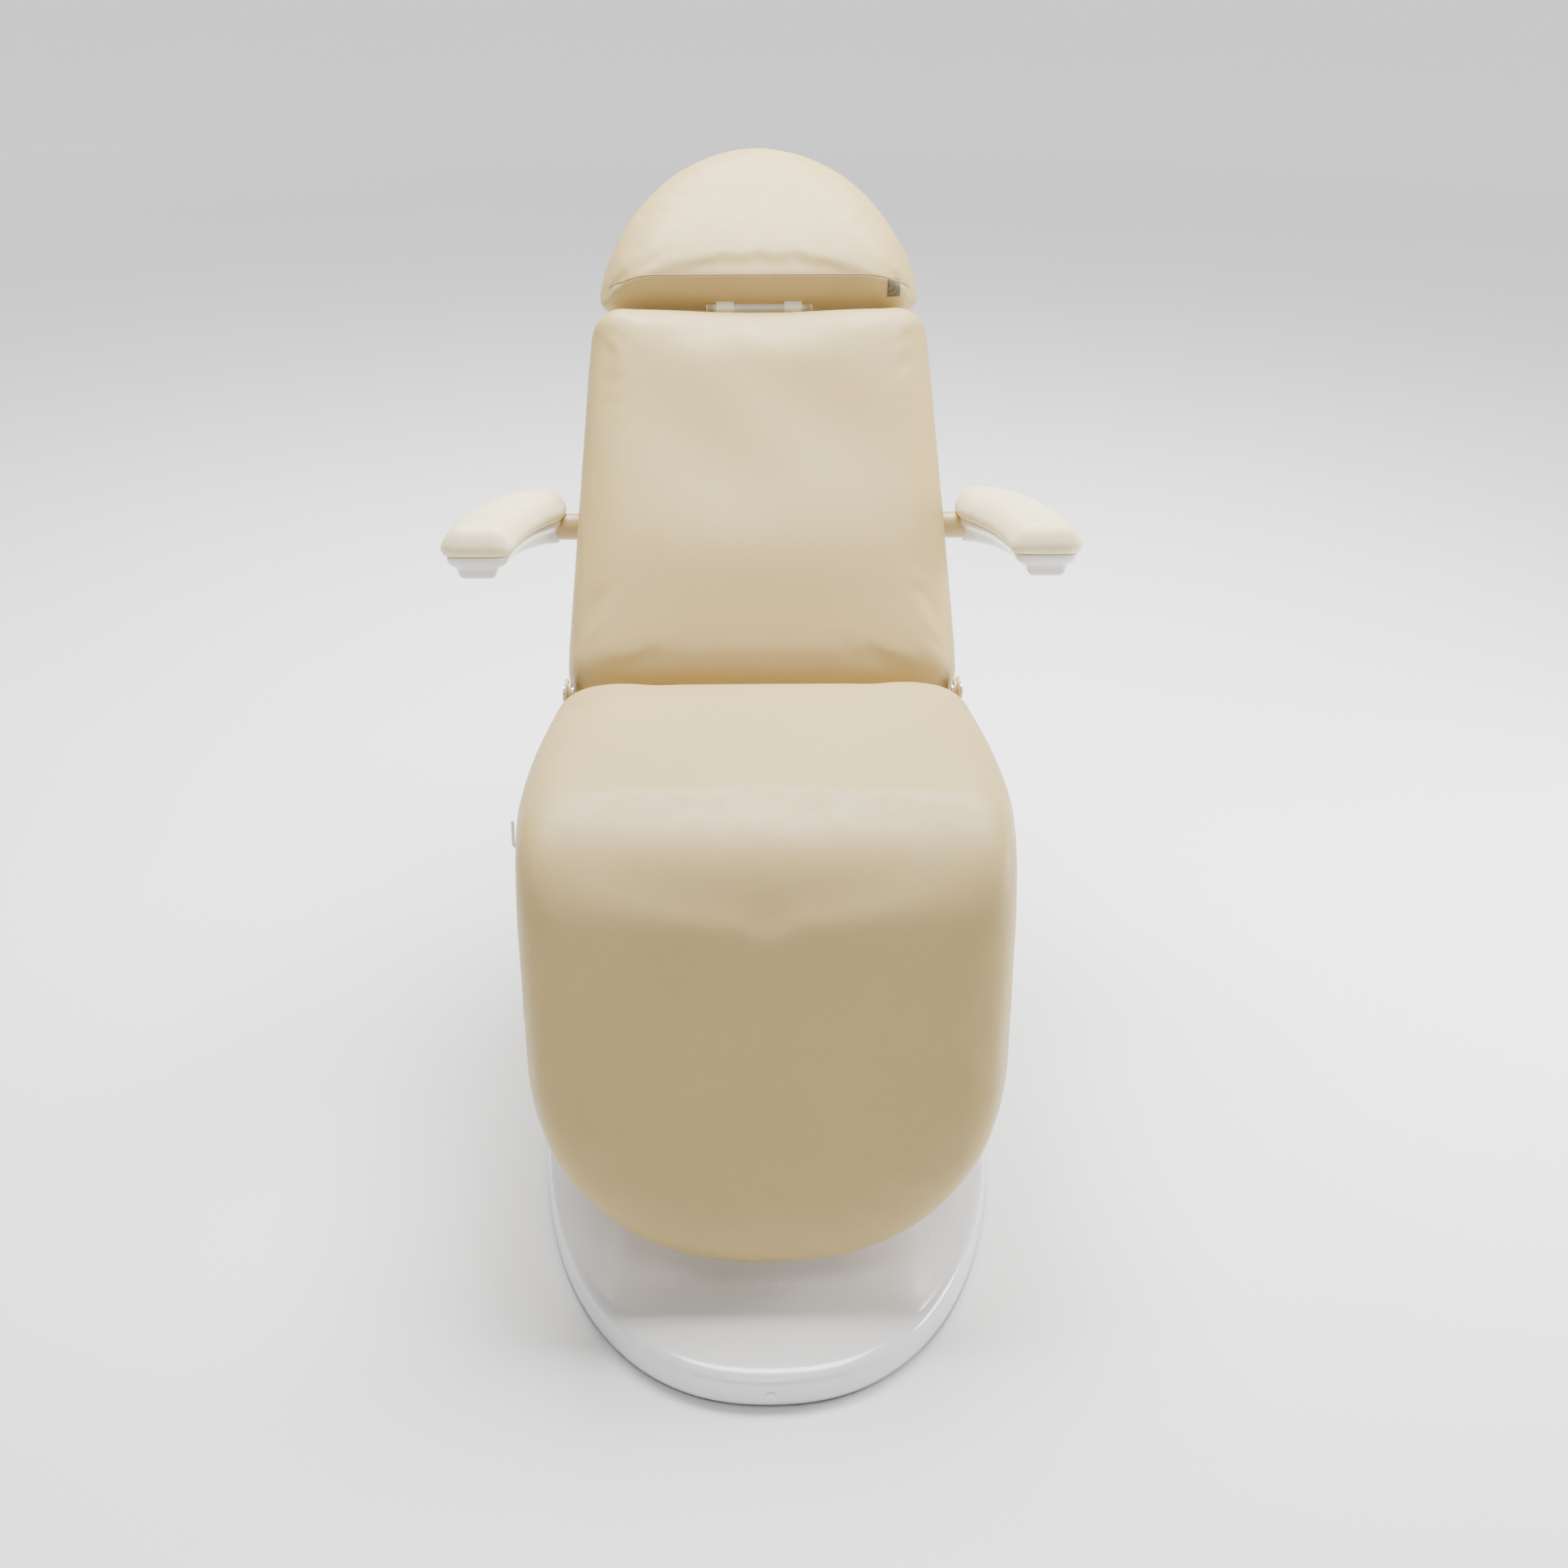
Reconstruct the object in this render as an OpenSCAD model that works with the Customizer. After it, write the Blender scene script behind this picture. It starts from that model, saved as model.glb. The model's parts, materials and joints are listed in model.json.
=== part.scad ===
// Electric treatment chair: three-section upholstered couch on a telescopic lift column.
// +Z is up, the foot end faces -Y, the head end faces +Y. The origin is on the floor, under the
// centre of the chair's bounding box.

/* [Posture at rest] */
// Upward slope of the seat towards its front edge, in degrees
seat_tilt = 3; // [2:0.5:4]
// Angle of the backrest above horizontal, in degrees
back_angle = 45; // [40:1:50]
// Angle of the leg section below horizontal, in degrees
leg_angle = 65; // [60:1:65]
// Angle of the headrest above horizontal, in degrees
head_angle = 28; // [24:1:34]
// Height of the recline hinge above the floor
hinge_z = 512; // [505:1:540]
// Distance of the recline hinge behind the origin
hinge_y = 80; // [70:1:90]

/* [Cushions] */
// Thickness of the seat, back and leg cushions
cushion_t = 75; // [60:1:75]
// Half of the seat's greatest width
seat_half = 302; // [290:1:310]
// Half of the seat's width at its rear edge
seat_rear_half = 262; // [250:1:266]
// Distance from the recline hinge to the knee hinge
knee_s = 500; // [490:1:520]
// Half of the leg section's width below the knee
leg_half = 281; // [270:1:290]
// Length of the leg section from the knee hinge
leg_len = 449; // [430:1:449]
// Half of the backrest's width near the seat
back_half = 267; // [255:1:267]
// Half of the backrest's width at its top
back_top_half = 241; // [230:1:250]
// Length of the backrest cushion
back_len = 599; // [580:1:610]
// Half of the headrest's width
head_half = 226; // [210:1:235]
// Length of the headrest
head_len = 300; // [280:1:310]

/* [Base] */
// Half of the hood's width
base_half = 292; // [270:1:300]
// Distance from the hood's middle to its front or rear end
base_semi = 640; // [620:1:660]
// Height of the hood's upright lip
lip_h = 44; // [40:1:48]
// Rise of the hood's top over its lip
crown_h = 22; // [15:1:26]

/* [Lift column] */
// Outside width of the fixed column profile
column_w = 200; // [190:1:210]
// Outside depth of the fixed column profile
column_d = 170; // [160:1:175]
// Length of each column profile
column_len = 250; // [240:1:250]
// Place of the column along Y
column_y = -90; // [-100:1:-80]

/* [Armrests] */
// Height of the armrest tube up the backrest from the recline hinge
arm_up = 290; // [270:1:300]
// Radius of the armrest tube
arm_tube_r = 19; // [16:0.5:20]
// Upward tilt of the armrest towards its front, in degrees
arm_tilt = 8; // [0:1:12]
// Width of the armrest pad
pad_w = 94; // [84:1:96]

/* [Hidden] */
$fn = 48;
fit = 0.05;                             // radial clearance of a running fit
wall = 3;                               // wall of steel tubes

// Levels in the seat's own frame, measured from the recline hinge
seat_top = 28;
seat_low = seat_top - cushion_t;
board_t = 12;
rail_top = seat_low - board_t;
rail_h = 40;
beam_h = 20;
seat_rear = -22;
bend_r = 170;                           // radius of the upholstery's bend over the knee
knee_h = 90;                            // depth of the knee hinge below the seat's surface
knee_z = seat_top - knee_h;
half_bend = (seat_tilt + leg_angle) / 2;
bend_run = (bend_r - knee_h) * tan(half_bend);
knee_travel = seat_tilt + leg_angle;
shaft_r = 12.5;
bolster_r = 68;

// Levels in the backrest's own frame
back_low = seat_low;
back_start = 5;
back_end = back_start + back_len;
hinge_r = 9;
hinge_x = 263.5;                        // inner face of the backrest's hinge plates
plate_t = 4;

// Actuators: each works a lever whose pin runs in an upright slot in the rod's end
slot_play = 3;
pin_r = 6;
rod_r = 12;
tube_r = 24;
actuator_x = 60;
back_lever_r = 120;
back_travel = 72;                       // from flat to upright, in degrees
back_rod_z = -back_lever_r * (1 + cos(back_travel / 2)) / 2;
back_lever_angle = back_travel / 2 + seat_tilt;
back_pin = [-back_lever_r * sin(back_lever_angle), -back_lever_r * cos(back_lever_angle)];
back_pin_y = back_lever_r * sin(back_angle - back_travel / 2);
leg_lever_r = 110;
leg_rod_z = knee_z - leg_lever_r * (1 + cos(knee_travel / 2)) / 2;
leg_pin = [-leg_lever_r * sin(knee_travel / 2), -leg_lever_r * cos(knee_travel / 2)];
leg_pin_y = -knee_s + leg_lever_r * sin(knee_travel / 2);

// Headrest pivot in the backrest's frame, and levels in the headrest's own frame
head_pivot = [back_end + 18, -28];
head_top = 52;
head_low = head_top - cushion_t;
head_start = 5;
tip_trim = 0.5;                         // small flat at the tip of a round end
bar_r = 13;
bar_x = 50;

// Armrest: a pad on a curve that is a quarter of an ellipse
arm_back_z = -75;
arm_start = [285, 10];
arm_reach = 98;
arm_run = 295;
pad_z = 14;
pad_t = 36;

// Base: the hood reaches as far forward as the headrest reaches back
head_rear = hinge_y + head_pivot[0] * cos(back_angle) - head_pivot[1] * sin(back_angle)
    + (head_start + head_len - tip_trim) * cos(head_angle) - head_low * sin(head_angle);
cap_t = 1.5;
hood_y = base_semi + cap_t - head_rear;
hood_t = 4;
floor_gap = 6;
hood_power = 2.3;                       // exponent of the superellipse that the hood's outline follows
frame_z = 10;
frame_h = 28;
frame_x = 100;
wheel_r = 18;
wheel_x = 146;
wheel_y = 300;
column_z = 46;
stage_gap = 7;                          // step in size between two column profiles
cover_z = 60;
cover_len = 240;

beige = "#D0C5A4";
cream = "#EAE4D0";
white = "#F2F2F0";
steel = "#8C9196";
dark = "#34363A";
alloy = "#C4C7CA";

// ---- Frames of the moving sections ----

module in_seat() translate([0, hinge_y, hinge_z]) rotate([-seat_tilt, 0, 0]) children();

module in_back() translate([0, hinge_y, hinge_z]) rotate([back_angle, 0, 0]) children();

module in_leg() in_seat() translate([0, -knee_s, knee_z]) rotate([knee_travel, 0, 0]) children();

module in_head() in_back() translate([0, head_pivot[0], head_pivot[1]])
    rotate([head_angle - back_angle, 0, 0]) children();

module in_arm() in_back() translate([0, arm_up, arm_back_z])
    rotate([-back_angle - arm_tilt, 0, 0]) children();

// ---- Shapes that repeat ----

// How far a rounded corner of radius r draws an edge in, at distance d from the corner's end
function corner(d, r) = d >= r ? 0 : r - sqrt(r * r - (r - d) * (r - d));

// Distances along a rounded corner, closer together where it curves most
function corner_steps(r, n = 6) = [for (i = [0:n - 1]) r * (1 - cos(90 * i / n))];

// Half-width of a superellipse of half-width w, at t from its middle (0) to its tip (1)
function superellipse(w, t, n = 2.2) = w * pow(max(0, 1 - pow(abs(t), n)), 1 / n);

// Outline symmetric about Y, from the half-width at each y
function mirrored(ys, half) = concat(
    [for (y = ys) [half(y), y]],
    [for (i = [len(ys) - 1:-1:0]) [-half(ys[i]), ys[i]]]);

// A plate of the given outline between two heights
module plate(outline, low, high) translate([0, 0, low]) linear_extrude(high - low) polygon(outline);

// A solid of the given (y, z) side profile, reaching half a width each side of x
module across(profile, half, x = 0)
    translate([x - half, 0, 0]) rotate([90, 0, 90]) linear_extrude(2 * half) polygon(profile);

// A rod along X between two places
module rod_x(r, x0, x1, y = 0, z = 0)
    translate([x0, y, z]) rotate([0, 90, 0]) cylinder(r = r, h = x1 - x0);

// A rod along Y between two places
module rod_y(r, y0, y1, x = 0, z = 0)
    translate([x, y1, z]) rotate([90, 0, 0]) cylinder(r = r, h = y1 - y0);

// A box given by its lowest and highest corners
module box(low, high) translate(low) cube(high - low);

// A rectangle with round corners, centred on the origin
module round_rect(w, d, r) {
    square([w - 2 * r, d], center = true);
    square([w, d - 2 * r], center = true);
    for (x = [-1, 1], y = [-1, 1]) translate([x * (w / 2 - r), y * (d / 2 - r)]) circle(r);
}

// An upright tube with a rounded rectangular section
module profile_tube(w, d, r, t, z0, z1) translate([0, column_y, z0]) linear_extrude(z1 - z0)
    difference() {
        round_rect(w, d, r);
        round_rect(w - 2 * t, d - 2 * t, r - t);
    }

// A rectangular steel tube along Y
module tube_y(x, w, y0, y1, z0, z1) difference() {
    box([x - w / 2, y0, z0], [x + w / 2, y1, z1]);
    box([x - w / 2 + wall, y0 - 1, z0 + wall], [x + w / 2 - wall, y1 + 1, z1 - wall]);
}

// A closed solid through rings of equally many points, lowest ring first
module loft(rings) {
    n = len(rings[0]);
    last = (len(rings) - 1) * n;
    polyhedron(
        points = [for (ring = rings) each ring],
        faces = concat(
            [[for (i = [0:n - 1]) i]],
            [for (j = [0:len(rings) - 2]) for (i = [0:n - 1])
                let (a = j * n + i, b = j * n + (i + 1) % n) [a + n, b + n, b, a]],
            [[for (i = [n - 1:-1:0]) last + i]]),
        convexity = 4);
}

// One solid on each side of the chair
module both_sides() {
    children();
    mirror([1, 0, 0]) children();
}

// ---- Base ----

// The hood's outline, scaled by s and lifted to z
function hood_ring(s, z, inset = 0) = [for (a = [0:5:359])
    let (c = cos(a), d = sin(a))
    [s * (base_half - inset) * sign(c) * pow(abs(c), 2 / hood_power),
     hood_y + s * (base_semi - inset) * sign(d) * pow(abs(d), 2 / hood_power), z]];

// Height of the hood's top at share s of the way out from its middle
function hood_top(s) = lip_h + crown_h * (1 - s * s);

module hood_solid(inset, bottom) {
    edge = 12;
    share = 1 - edge / base_half;
    loft(concat(
        [hood_ring(1, bottom, inset)],
        [for (a = [0:22.5:90])
            hood_ring(1 - edge * (1 - cos(a)) / base_half, lip_h - edge * (1 - sin(a)) - inset, inset)],
        [for (s = [0.85, 0.7, 0.55, 0.4, 0.2, 0.05])
            hood_ring(s * share, hood_top(s) - inset, inset)]));
}

collar_w = column_w + 78;
collar_d = column_d + 78;
collar_z = 104;

module base_hood() color(white) difference() {
    union() {
        hood_solid(0, floor_gap);
        translate([0, column_y, lip_h]) linear_extrude(collar_z - lip_h) round_rect(collar_w, collar_d, 40);
    }
    difference() {
        hood_solid(hood_t, -1);
        translate([0, column_y, 50]) linear_extrude(40) round_rect(collar_w, collar_d, 40);
    }
    translate([0, column_y, 30]) linear_extrude(collar_z)
        round_rect(collar_w - 2 * hood_t, collar_d - 2 * hood_t, 36);
    inlet_room();
    for (a = [0:90:270]) screw_place(a) cylinder(r = 4, h = 3 * hood_t, center = true);
}

// Places of the four screws that hold the hood's lip
screw_z = 16;
module screw_place(a) {
    along = a == 0 || a == 180;
    side = a == 0 || a == 270 ? -1 : 1;
    translate([along ? 0 : side * base_half, hood_y + (along ? side * base_semi : 0), screw_z])
        rotate([along ? side * -90 : 0, along ? 0 : side * 90, 0]) children();
}

module hood_screw_caps() color(white) for (a = [0:90:270]) screw_place(a) {
    cylinder(r = 7, h = cap_t);
    translate([0, 0, -hood_t - 4]) cylinder(r = 3.5, h = hood_t + 4);
}

// Axle brackets, rails and cross members under the hood
module base_frame() color(steel) {
    rail_front = hood_y - 430;
    rail_rear = 380;
    difference() {
        union() {
            for (x = [-frame_x, frame_x]) tube_y(x, 50, rail_front, rail_rear, frame_z, frame_z + frame_h);
            for (y = [rail_front + 60, column_y - 130, column_y + 130, rail_rear - 100])
                box([-frame_x + 25, y - 20, frame_z + 4], [frame_x - 25, y + 20, frame_z + frame_h]);
            translate([0, column_y, frame_z + frame_h])
                linear_extrude(column_z - frame_z - frame_h) round_rect(column_w + 50, column_d + 60, 10);
        }
        for (p = foot_places) translate([p[0], p[1], frame_z - 1]) cylinder(r = 6 + fit, h = frame_h + 2);
        rod_x(6 + fit, -frame_x - 26, frame_x + 26, wheel_y, wheel_r + 2);
    }
}

foot_places = [for (x = [-frame_x, frame_x], y = [hood_y - 400, 340]) [x, y]];

module levelling_feet() color(dark) for (p = foot_places) translate([p[0], p[1], 0]) {
    cylinder(r1 = 26, r2 = 22, h = 8);
    cylinder(r = 6, h = 34);
}

module wheel_axles() color(steel) both_sides()
    rod_x(6, frame_x - 20, wheel_x + 16, wheel_y, wheel_r + 2);

module transport_wheel() color(dark) difference() {
    rod_x(wheel_r, wheel_x - 12, wheel_x + 12, wheel_y, wheel_r + 2);
    rod_x(6 + fit, wheel_x - 13, wheel_x + 13, wheel_y, wheel_r + 2);
}

module transport_wheel_left() mirror([1, 0, 0]) transport_wheel();
module transport_wheel_right() transport_wheel();

// ---- Mains inlet at the hood's rear end ----

inlet_y = hood_y + base_semi;
inlet_x = 48;
inlet_z = 26;
rocker_x = 74;

// Depth by which the hood's round end has fallen back at a place beside the middle
function hood_end(x) = hood_y + superellipse(base_semi, x / base_half, hood_power);

module inlet_room() box([inlet_x - 18, hood_end(rocker_x + 12) - 30, inlet_z - 13],
    [rocker_x + 12, inlet_y + 5, inlet_z + 13]);

module power_inlet() color(dark) {
    back = hood_end(rocker_x + 12) - 26;
    face = hood_end(inlet_x);
    difference() {
        box([inlet_x - 17.5, back, inlet_z - 12.5], [rocker_x + 11.5, face, inlet_z + 12.5]);
        box([inlet_x - 12, back + 6, inlet_z - 8], [inlet_x + 12, face + 1, inlet_z + 8]);
        box([rocker_x - 8, back + 6, inlet_z - 10], [rocker_x + 8, face + 1, inlet_z + 10]);
    }
    for (p = [[-7, -3], [0, 4], [7, -3]])
        box([inlet_x + p[0] - 1, back + 3, inlet_z + p[1] - 2], [inlet_x + p[0] + 1, face - 4, inlet_z + p[1] + 2]);
    rod_x(1.5, rocker_x - 9, rocker_x + 9, face - 6, inlet_z);
}

module power_switch() color("#B02020") difference() {
    face = hood_end(inlet_x);
    intersection() {
        box([rocker_x - 7, face - 12, inlet_z - 8.5], [rocker_x + 7, face + 3, inlet_z + 8.5]);
        rod_x(11, rocker_x - 7, rocker_x + 7, face - 7, inlet_z);
    }
    rod_x(1.5 + fit, rocker_x - 8, rocker_x + 8, face - 6, inlet_z);
}

module control_box() color(dark)
    box([-70, 90, frame_z + frame_h], [70, 210, frame_z + frame_h + 12]);

// ---- Lift column ----

// One profile of the column, number 0 outermost
module column_stage(i) color(alloy) {
    w = column_w - 2 * i * stage_gap;
    d = column_d - 2 * i * stage_gap;
    profile_tube(w, d, 16, 5, column_z + 4 * i, column_z + 8 * i + column_len);
}

module column_outer() column_stage(0);
module column_middle() column_stage(1);
module column_inner() column_stage(2);

// One telescopic cover of the column, number 0 innermost
module cover_stage(i) {
    w = column_w + 22 + 2 * i * stage_gap;
    d = column_d + 22 + 2 * i * stage_gap;
    color(white) profile_tube(w, d, 24, 3, cover_z + 4 * i, cover_z + 4 * i + cover_len);
}

module cover_lower() {
    cover_stage(0);
    color(white) profile_tube(column_w + 30, column_d + 30, 28, 15, column_z, cover_z);
}
module cover_middle() cover_stage(1);
module cover_upper() {
    cover_stage(2);
    color(white) profile_tube(column_w + 50, column_d + 50, 28, 25,
        cover_z + 8 + cover_len, carriage_z);
}

carriage_z = 316;
carriage_t = 8;

// Tubes of the lift actuator, one in each stage of the column
module lift_tube() color(dark) translate([0, column_y, column_z]) difference() {
    cylinder(r = 32, h = 240);
    translate([0, 0, 6]) cylinder(r = 25 + fit, h = 240);
}
module lift_stage() color(alloy) {
    translate([0, column_y, column_z + 8]) difference() {
        cylinder(r = 25, h = 240);
        translate([0, 0, 6]) cylinder(r = 16 + fit, h = 240);
    }
}
module lift_rod() color(steel)
    translate([0, column_y, column_z + 16]) cylinder(r = 16, h = carriage_z - column_z - 16);

// U-shaped carriage on the column's head, with cheeks up to the seat's rails
module carriage() color(steel) {
    translate([0, column_y, carriage_z]) linear_extrude(carriage_t) round_rect(300, 210, 8);
    both_sides() box([142, column_y - 100, carriage_z + carriage_t], [150, column_y + 100, 434]);
}

// ---- Seat section ----

seat_front = -knee_s + 0.5;

// Half-width of the seat at y in its own frame
function seat_width(y) = let (
        t = min(1, max(0, (seat_rear - y) / 365)),
        swell = sin(90 * t))
    seat_rear_half + 8 + (seat_half - seat_rear_half - 8) * swell
    - corner(seat_rear - y, 70) - 7 * max(0, (-y - 400) / 100);

seat_ys = concat([for (d = corner_steps(70)) seat_rear - d], [for (i = [1:10]) seat_rear - 70 - 40 * i],
    [seat_front]);

// Top edge of the upholstery where it bends over the knee, from its start to the hinge
bend_share = asin(bend_run / bend_r);
seat_bend = [for (i = [0:6]) let (a = bend_share * i / 6)
    [seat_front + bend_run * (1 - sin(a) / sin(bend_share)), seat_top - bend_r * (1 - cos(a))]];

module seat_cushion() color(beige) in_seat() difference() {
    intersection() {
        plate(mirrored(seat_ys, function (y) seat_width(y)), seat_low, seat_top);
        across(concat([[seat_rear, seat_low], [seat_rear, seat_top - 12], [seat_rear - 12, seat_top]],
            seat_bend, [[seat_front, seat_low]]), 400);
    }
    rod_x(25, -400, 400, -knee_s, knee_z);
}

module seat_board() color("#B9A57E") in_seat()
    plate(mirrored([for (y = seat_ys) y < -knee_s + 60 ? -knee_s + 60 : y], function (y) seat_width(y) - 14),
        rail_top, seat_low);

knee_x = 176;
seat_beams = [-60, -255, -450];         // cross members of the seat frame
back_drive_y = -430;                    // rear pin of the backrest's actuator
leg_drive_y = -82;                      // rear pin of the leg section's actuator

module seat_frame() color(steel) in_seat() difference() {
    union() {
        both_sides() {
            tube_y(162.5, 25, -knee_s + 30, -8, rail_top - rail_h, rail_top);
            box([174, -34, rail_top - rail_h], [hinge_x + 2 * plate_t + 0.5, -8, rail_top - rail_h + 26]);
            across([[-20, rail_top - rail_h], [20, rail_top - rail_h], [20, 0], [-20, 0]],
                plate_t / 2, hinge_x + 1.5 * plate_t + 0.5);
            rod_x(20, hinge_x + plate_t + 0.5, hinge_x + 2 * plate_t + 0.5);
            across([[-knee_s, knee_z - 24], [-knee_s + 90, rail_top - rail_h], [-knee_s + 60, rail_top],
                [-knee_s, knee_z + 20]], 4, knee_x + 2);
            rod_x(24, knee_x - 2, knee_x + 6, -knee_s, knee_z);
        }
        for (y = seat_beams)
            box([-151, y - 20, rail_top - beam_h], [151, y + 20, rail_top]);
        clevis(actuator_x, back_drive_y, back_rod_z, seat_beams[2]);
        clevis(-actuator_x, leg_drive_y, leg_rod_z, seat_beams[0]);
    }
    rod_x(hinge_r, -300, 300);
    rod_x(shaft_r, -300, 300, -knee_s, knee_z);
    rod_x(pin_r, 0, 100, back_drive_y, back_rod_z);
    rod_x(pin_r, -100, 0, leg_drive_y, leg_rod_z);
}

// Two cheeks that hang from a cross member and hold an actuator's rear pin
module clevis(x, y, z, beam) for (side = [-1, 1]) {
    across([[y - 12, z], [y + 12, z], [beam + 18, rail_top - beam_h + 1], [beam - 18, rail_top - beam_h + 1]],
        2, x + side * 14);
    rod_x(12, x + side * 14 - 2, x + side * 14 + 2, y, z);
}

module knee_bolster() color("#E6D9A8") in_seat() translate([0, -knee_s, knee_z]) difference() {
    rod_x(bolster_r, -282, 282);
    rod_x(30, -283, 283);
    box([-283, -0.5, -80], [283, 80, 80]);
    box([-283, -80, -80], [283, 80, 0.5]);
}

module knee_shaft() color(alloy) in_seat() translate([0, -knee_s, knee_z]) {
    rod_x(shaft_r, -222, 222);
    both_sides() rod_x(shaft_r + 5, 218, 224);
}

module back_hinge_pins() color(steel) in_seat() both_sides() {
    rod_x(hinge_r, hinge_x - 3, hinge_x + 2 * plate_t + 1);
    rod_x(hinge_r + 3, hinge_x + 2 * plate_t + 0.5, hinge_x + 2 * plate_t + 3.5);
}

// Wire hook for a hand control, screwed under the left edge of the seat board
hook_y = -392;
hook_out = 12;
hook_rise = 34;
wire_r = 2;

module handset_hook() color("#E8E8E4") in_seat() translate([-seat_width(hook_y), hook_y, rail_top - wire_r]) {
    rod_x(wire_r, -hook_out, 40);
    translate([-hook_out, 0, 0]) cylinder(r = wire_r, h = hook_rise);
    for (z = [0, hook_rise]) translate([-hook_out, 0, z]) sphere(wire_r);
    box([20, -10, -wire_r], [40, 10, wire_r]);
}

// ---- Linear actuators ----

// Hollow tube of an actuator: mouth is its open end, towards +Y or -Y
module actuator_tube(x, z, mouth, depth, dir) difference() {
    rod_y(tube_r, min(mouth, mouth - dir * depth), max(mouth, mouth - dir * depth), x, z);
    rod_y(rod_r + fit, min(mouth + dir, mouth - dir * (depth - 8)), max(mouth + dir, mouth - dir * (depth - 8)),
        x, z);
}

// Gearbox and motor can behind the tube, with the eye for the rear pin
module actuator_drive(x, z, start, pin_y, dir) difference() {
    union() {
        box([x - 26, min(start, start - dir * 60), z - 26], [x + 26, max(start, start - dir * 60), z + 26]);
        rod_y(22, min(start - dir * 60, start - dir * 115), max(start - dir * 60, start - dir * 115), x, z);
        box([x - 11, min(start - dir * 115, pin_y), z - 11], [x + 11, max(start - dir * 115, pin_y), z + 11]);
        rod_x(11, x - 11, x + 11, pin_y, z);
    }
    rod_x(pin_r, x - 20, x + 20, pin_y, z);
}

// Rod with a slotted end plate that drives a lever's pin
module slotted_rod(x, z, pin_y, inner, travel_z) {
    half_slot = travel_z / 2 + pin_r + 1.5;
    slot_r = pin_r + slot_play;
    rim = 7;
    side = pin_y < inner ? -1 : 1;
    shoulder = pin_y - side * (slot_r + rim - 1.5);
    rod_y(rod_r, min(inner, shoulder), max(inner, shoulder), x, z);
    difference() {
        box([x - 7, pin_y - slot_r - rim, z - half_slot - rim], [x + 7, pin_y + slot_r + rim, z + half_slot + rim]);
        box([x - 8, pin_y - slot_r, z - half_slot + slot_r], [x + 8, pin_y + slot_r, z + half_slot - slot_r]);
        for (s = [-1, 1]) rod_x(slot_r, x - 8, x + 8, pin_y, z + s * (half_slot - slot_r));
    }
}

module back_actuator() color(dark) in_seat() actuator_tube(actuator_x, back_rod_z, -104, 190, 1);
module back_motor() color(dark) in_seat() actuator_drive(actuator_x, back_rod_z, -294, back_drive_y, 1);
module leg_actuator() color(dark) in_seat() actuator_tube(-actuator_x, leg_rod_z, -412, 190, -1);
module leg_motor() color(dark) in_seat() actuator_drive(-actuator_x, leg_rod_z, -222, leg_drive_y, -1);

module actuator_pins() color(alloy) in_seat() {
    rod_x(pin_r, actuator_x - 19, actuator_x + 19, back_drive_y, back_rod_z);
    rod_x(pin_r, -actuator_x - 19, -actuator_x + 19, leg_drive_y, leg_rod_z);
}

module back_rod() color(alloy) in_seat()
    slotted_rod(actuator_x, back_rod_z, back_pin_y, -190, back_lever_r * (1 - cos(back_travel / 2)));

module leg_rod() color(alloy) in_seat()
    slotted_rod(-actuator_x, leg_rod_z, leg_pin_y, -259, leg_lever_r * (1 - cos(knee_travel / 2)));

// ---- Backrest ----

back_bottom_r = 35;
back_top_r = 42;

// Half-width of the backrest at y in its own frame
function back_width(y) = let (t = max(0, (y - 60) / (back_len - 60)))
    back_half + (back_top_half - back_half) * pow(t, 1.15)
    - corner(y - back_start, back_bottom_r) - corner(back_end - y, back_top_r);

back_ys = concat([for (d = corner_steps(back_bottom_r)) back_start + d],
    [for (i = [0:10]) back_start + back_bottom_r + i * (back_len - back_bottom_r - back_top_r) / 10],
    [for (i = [5:-1:0]) back_end - corner_steps(back_top_r)[i]]);

module backrest_cushion() color(beige) in_back() difference() {
    intersection() {
        plate(mirrored(back_ys, function (y) back_width(y)), back_low, seat_top);
        across([[back_start, back_low], [back_end, back_low], [back_end, seat_top - 10],
            [back_end - 10, seat_top], [back_start + 12, seat_top], [back_start, seat_top - 12]], 400);
    }
    bracket_room();
}

// Slots in the backrest's end for the two brackets that carry the headrest
module bracket_room() both_sides() box([66, 580, back_low - 1], [78, back_end + 1, -31]);

module backrest_board() color("#B9A57E") in_back() difference() {
    plate(mirrored([for (y = back_ys) min(max(y, back_start + 20), back_end - 20)],
        function (y) back_width(y) - 18 - corner(y - back_start - 20, 18) - corner(back_end - 20 - y, 40)),
        rail_top, back_low);
    both_sides() {
        rod_x(arm_tube_r + 7, 179, 300, arm_up, arm_back_z);
        box([66, 560, rail_top - 1], [78, back_end, back_low + 1]);
    }
}

back_rail_h = 34;

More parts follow.
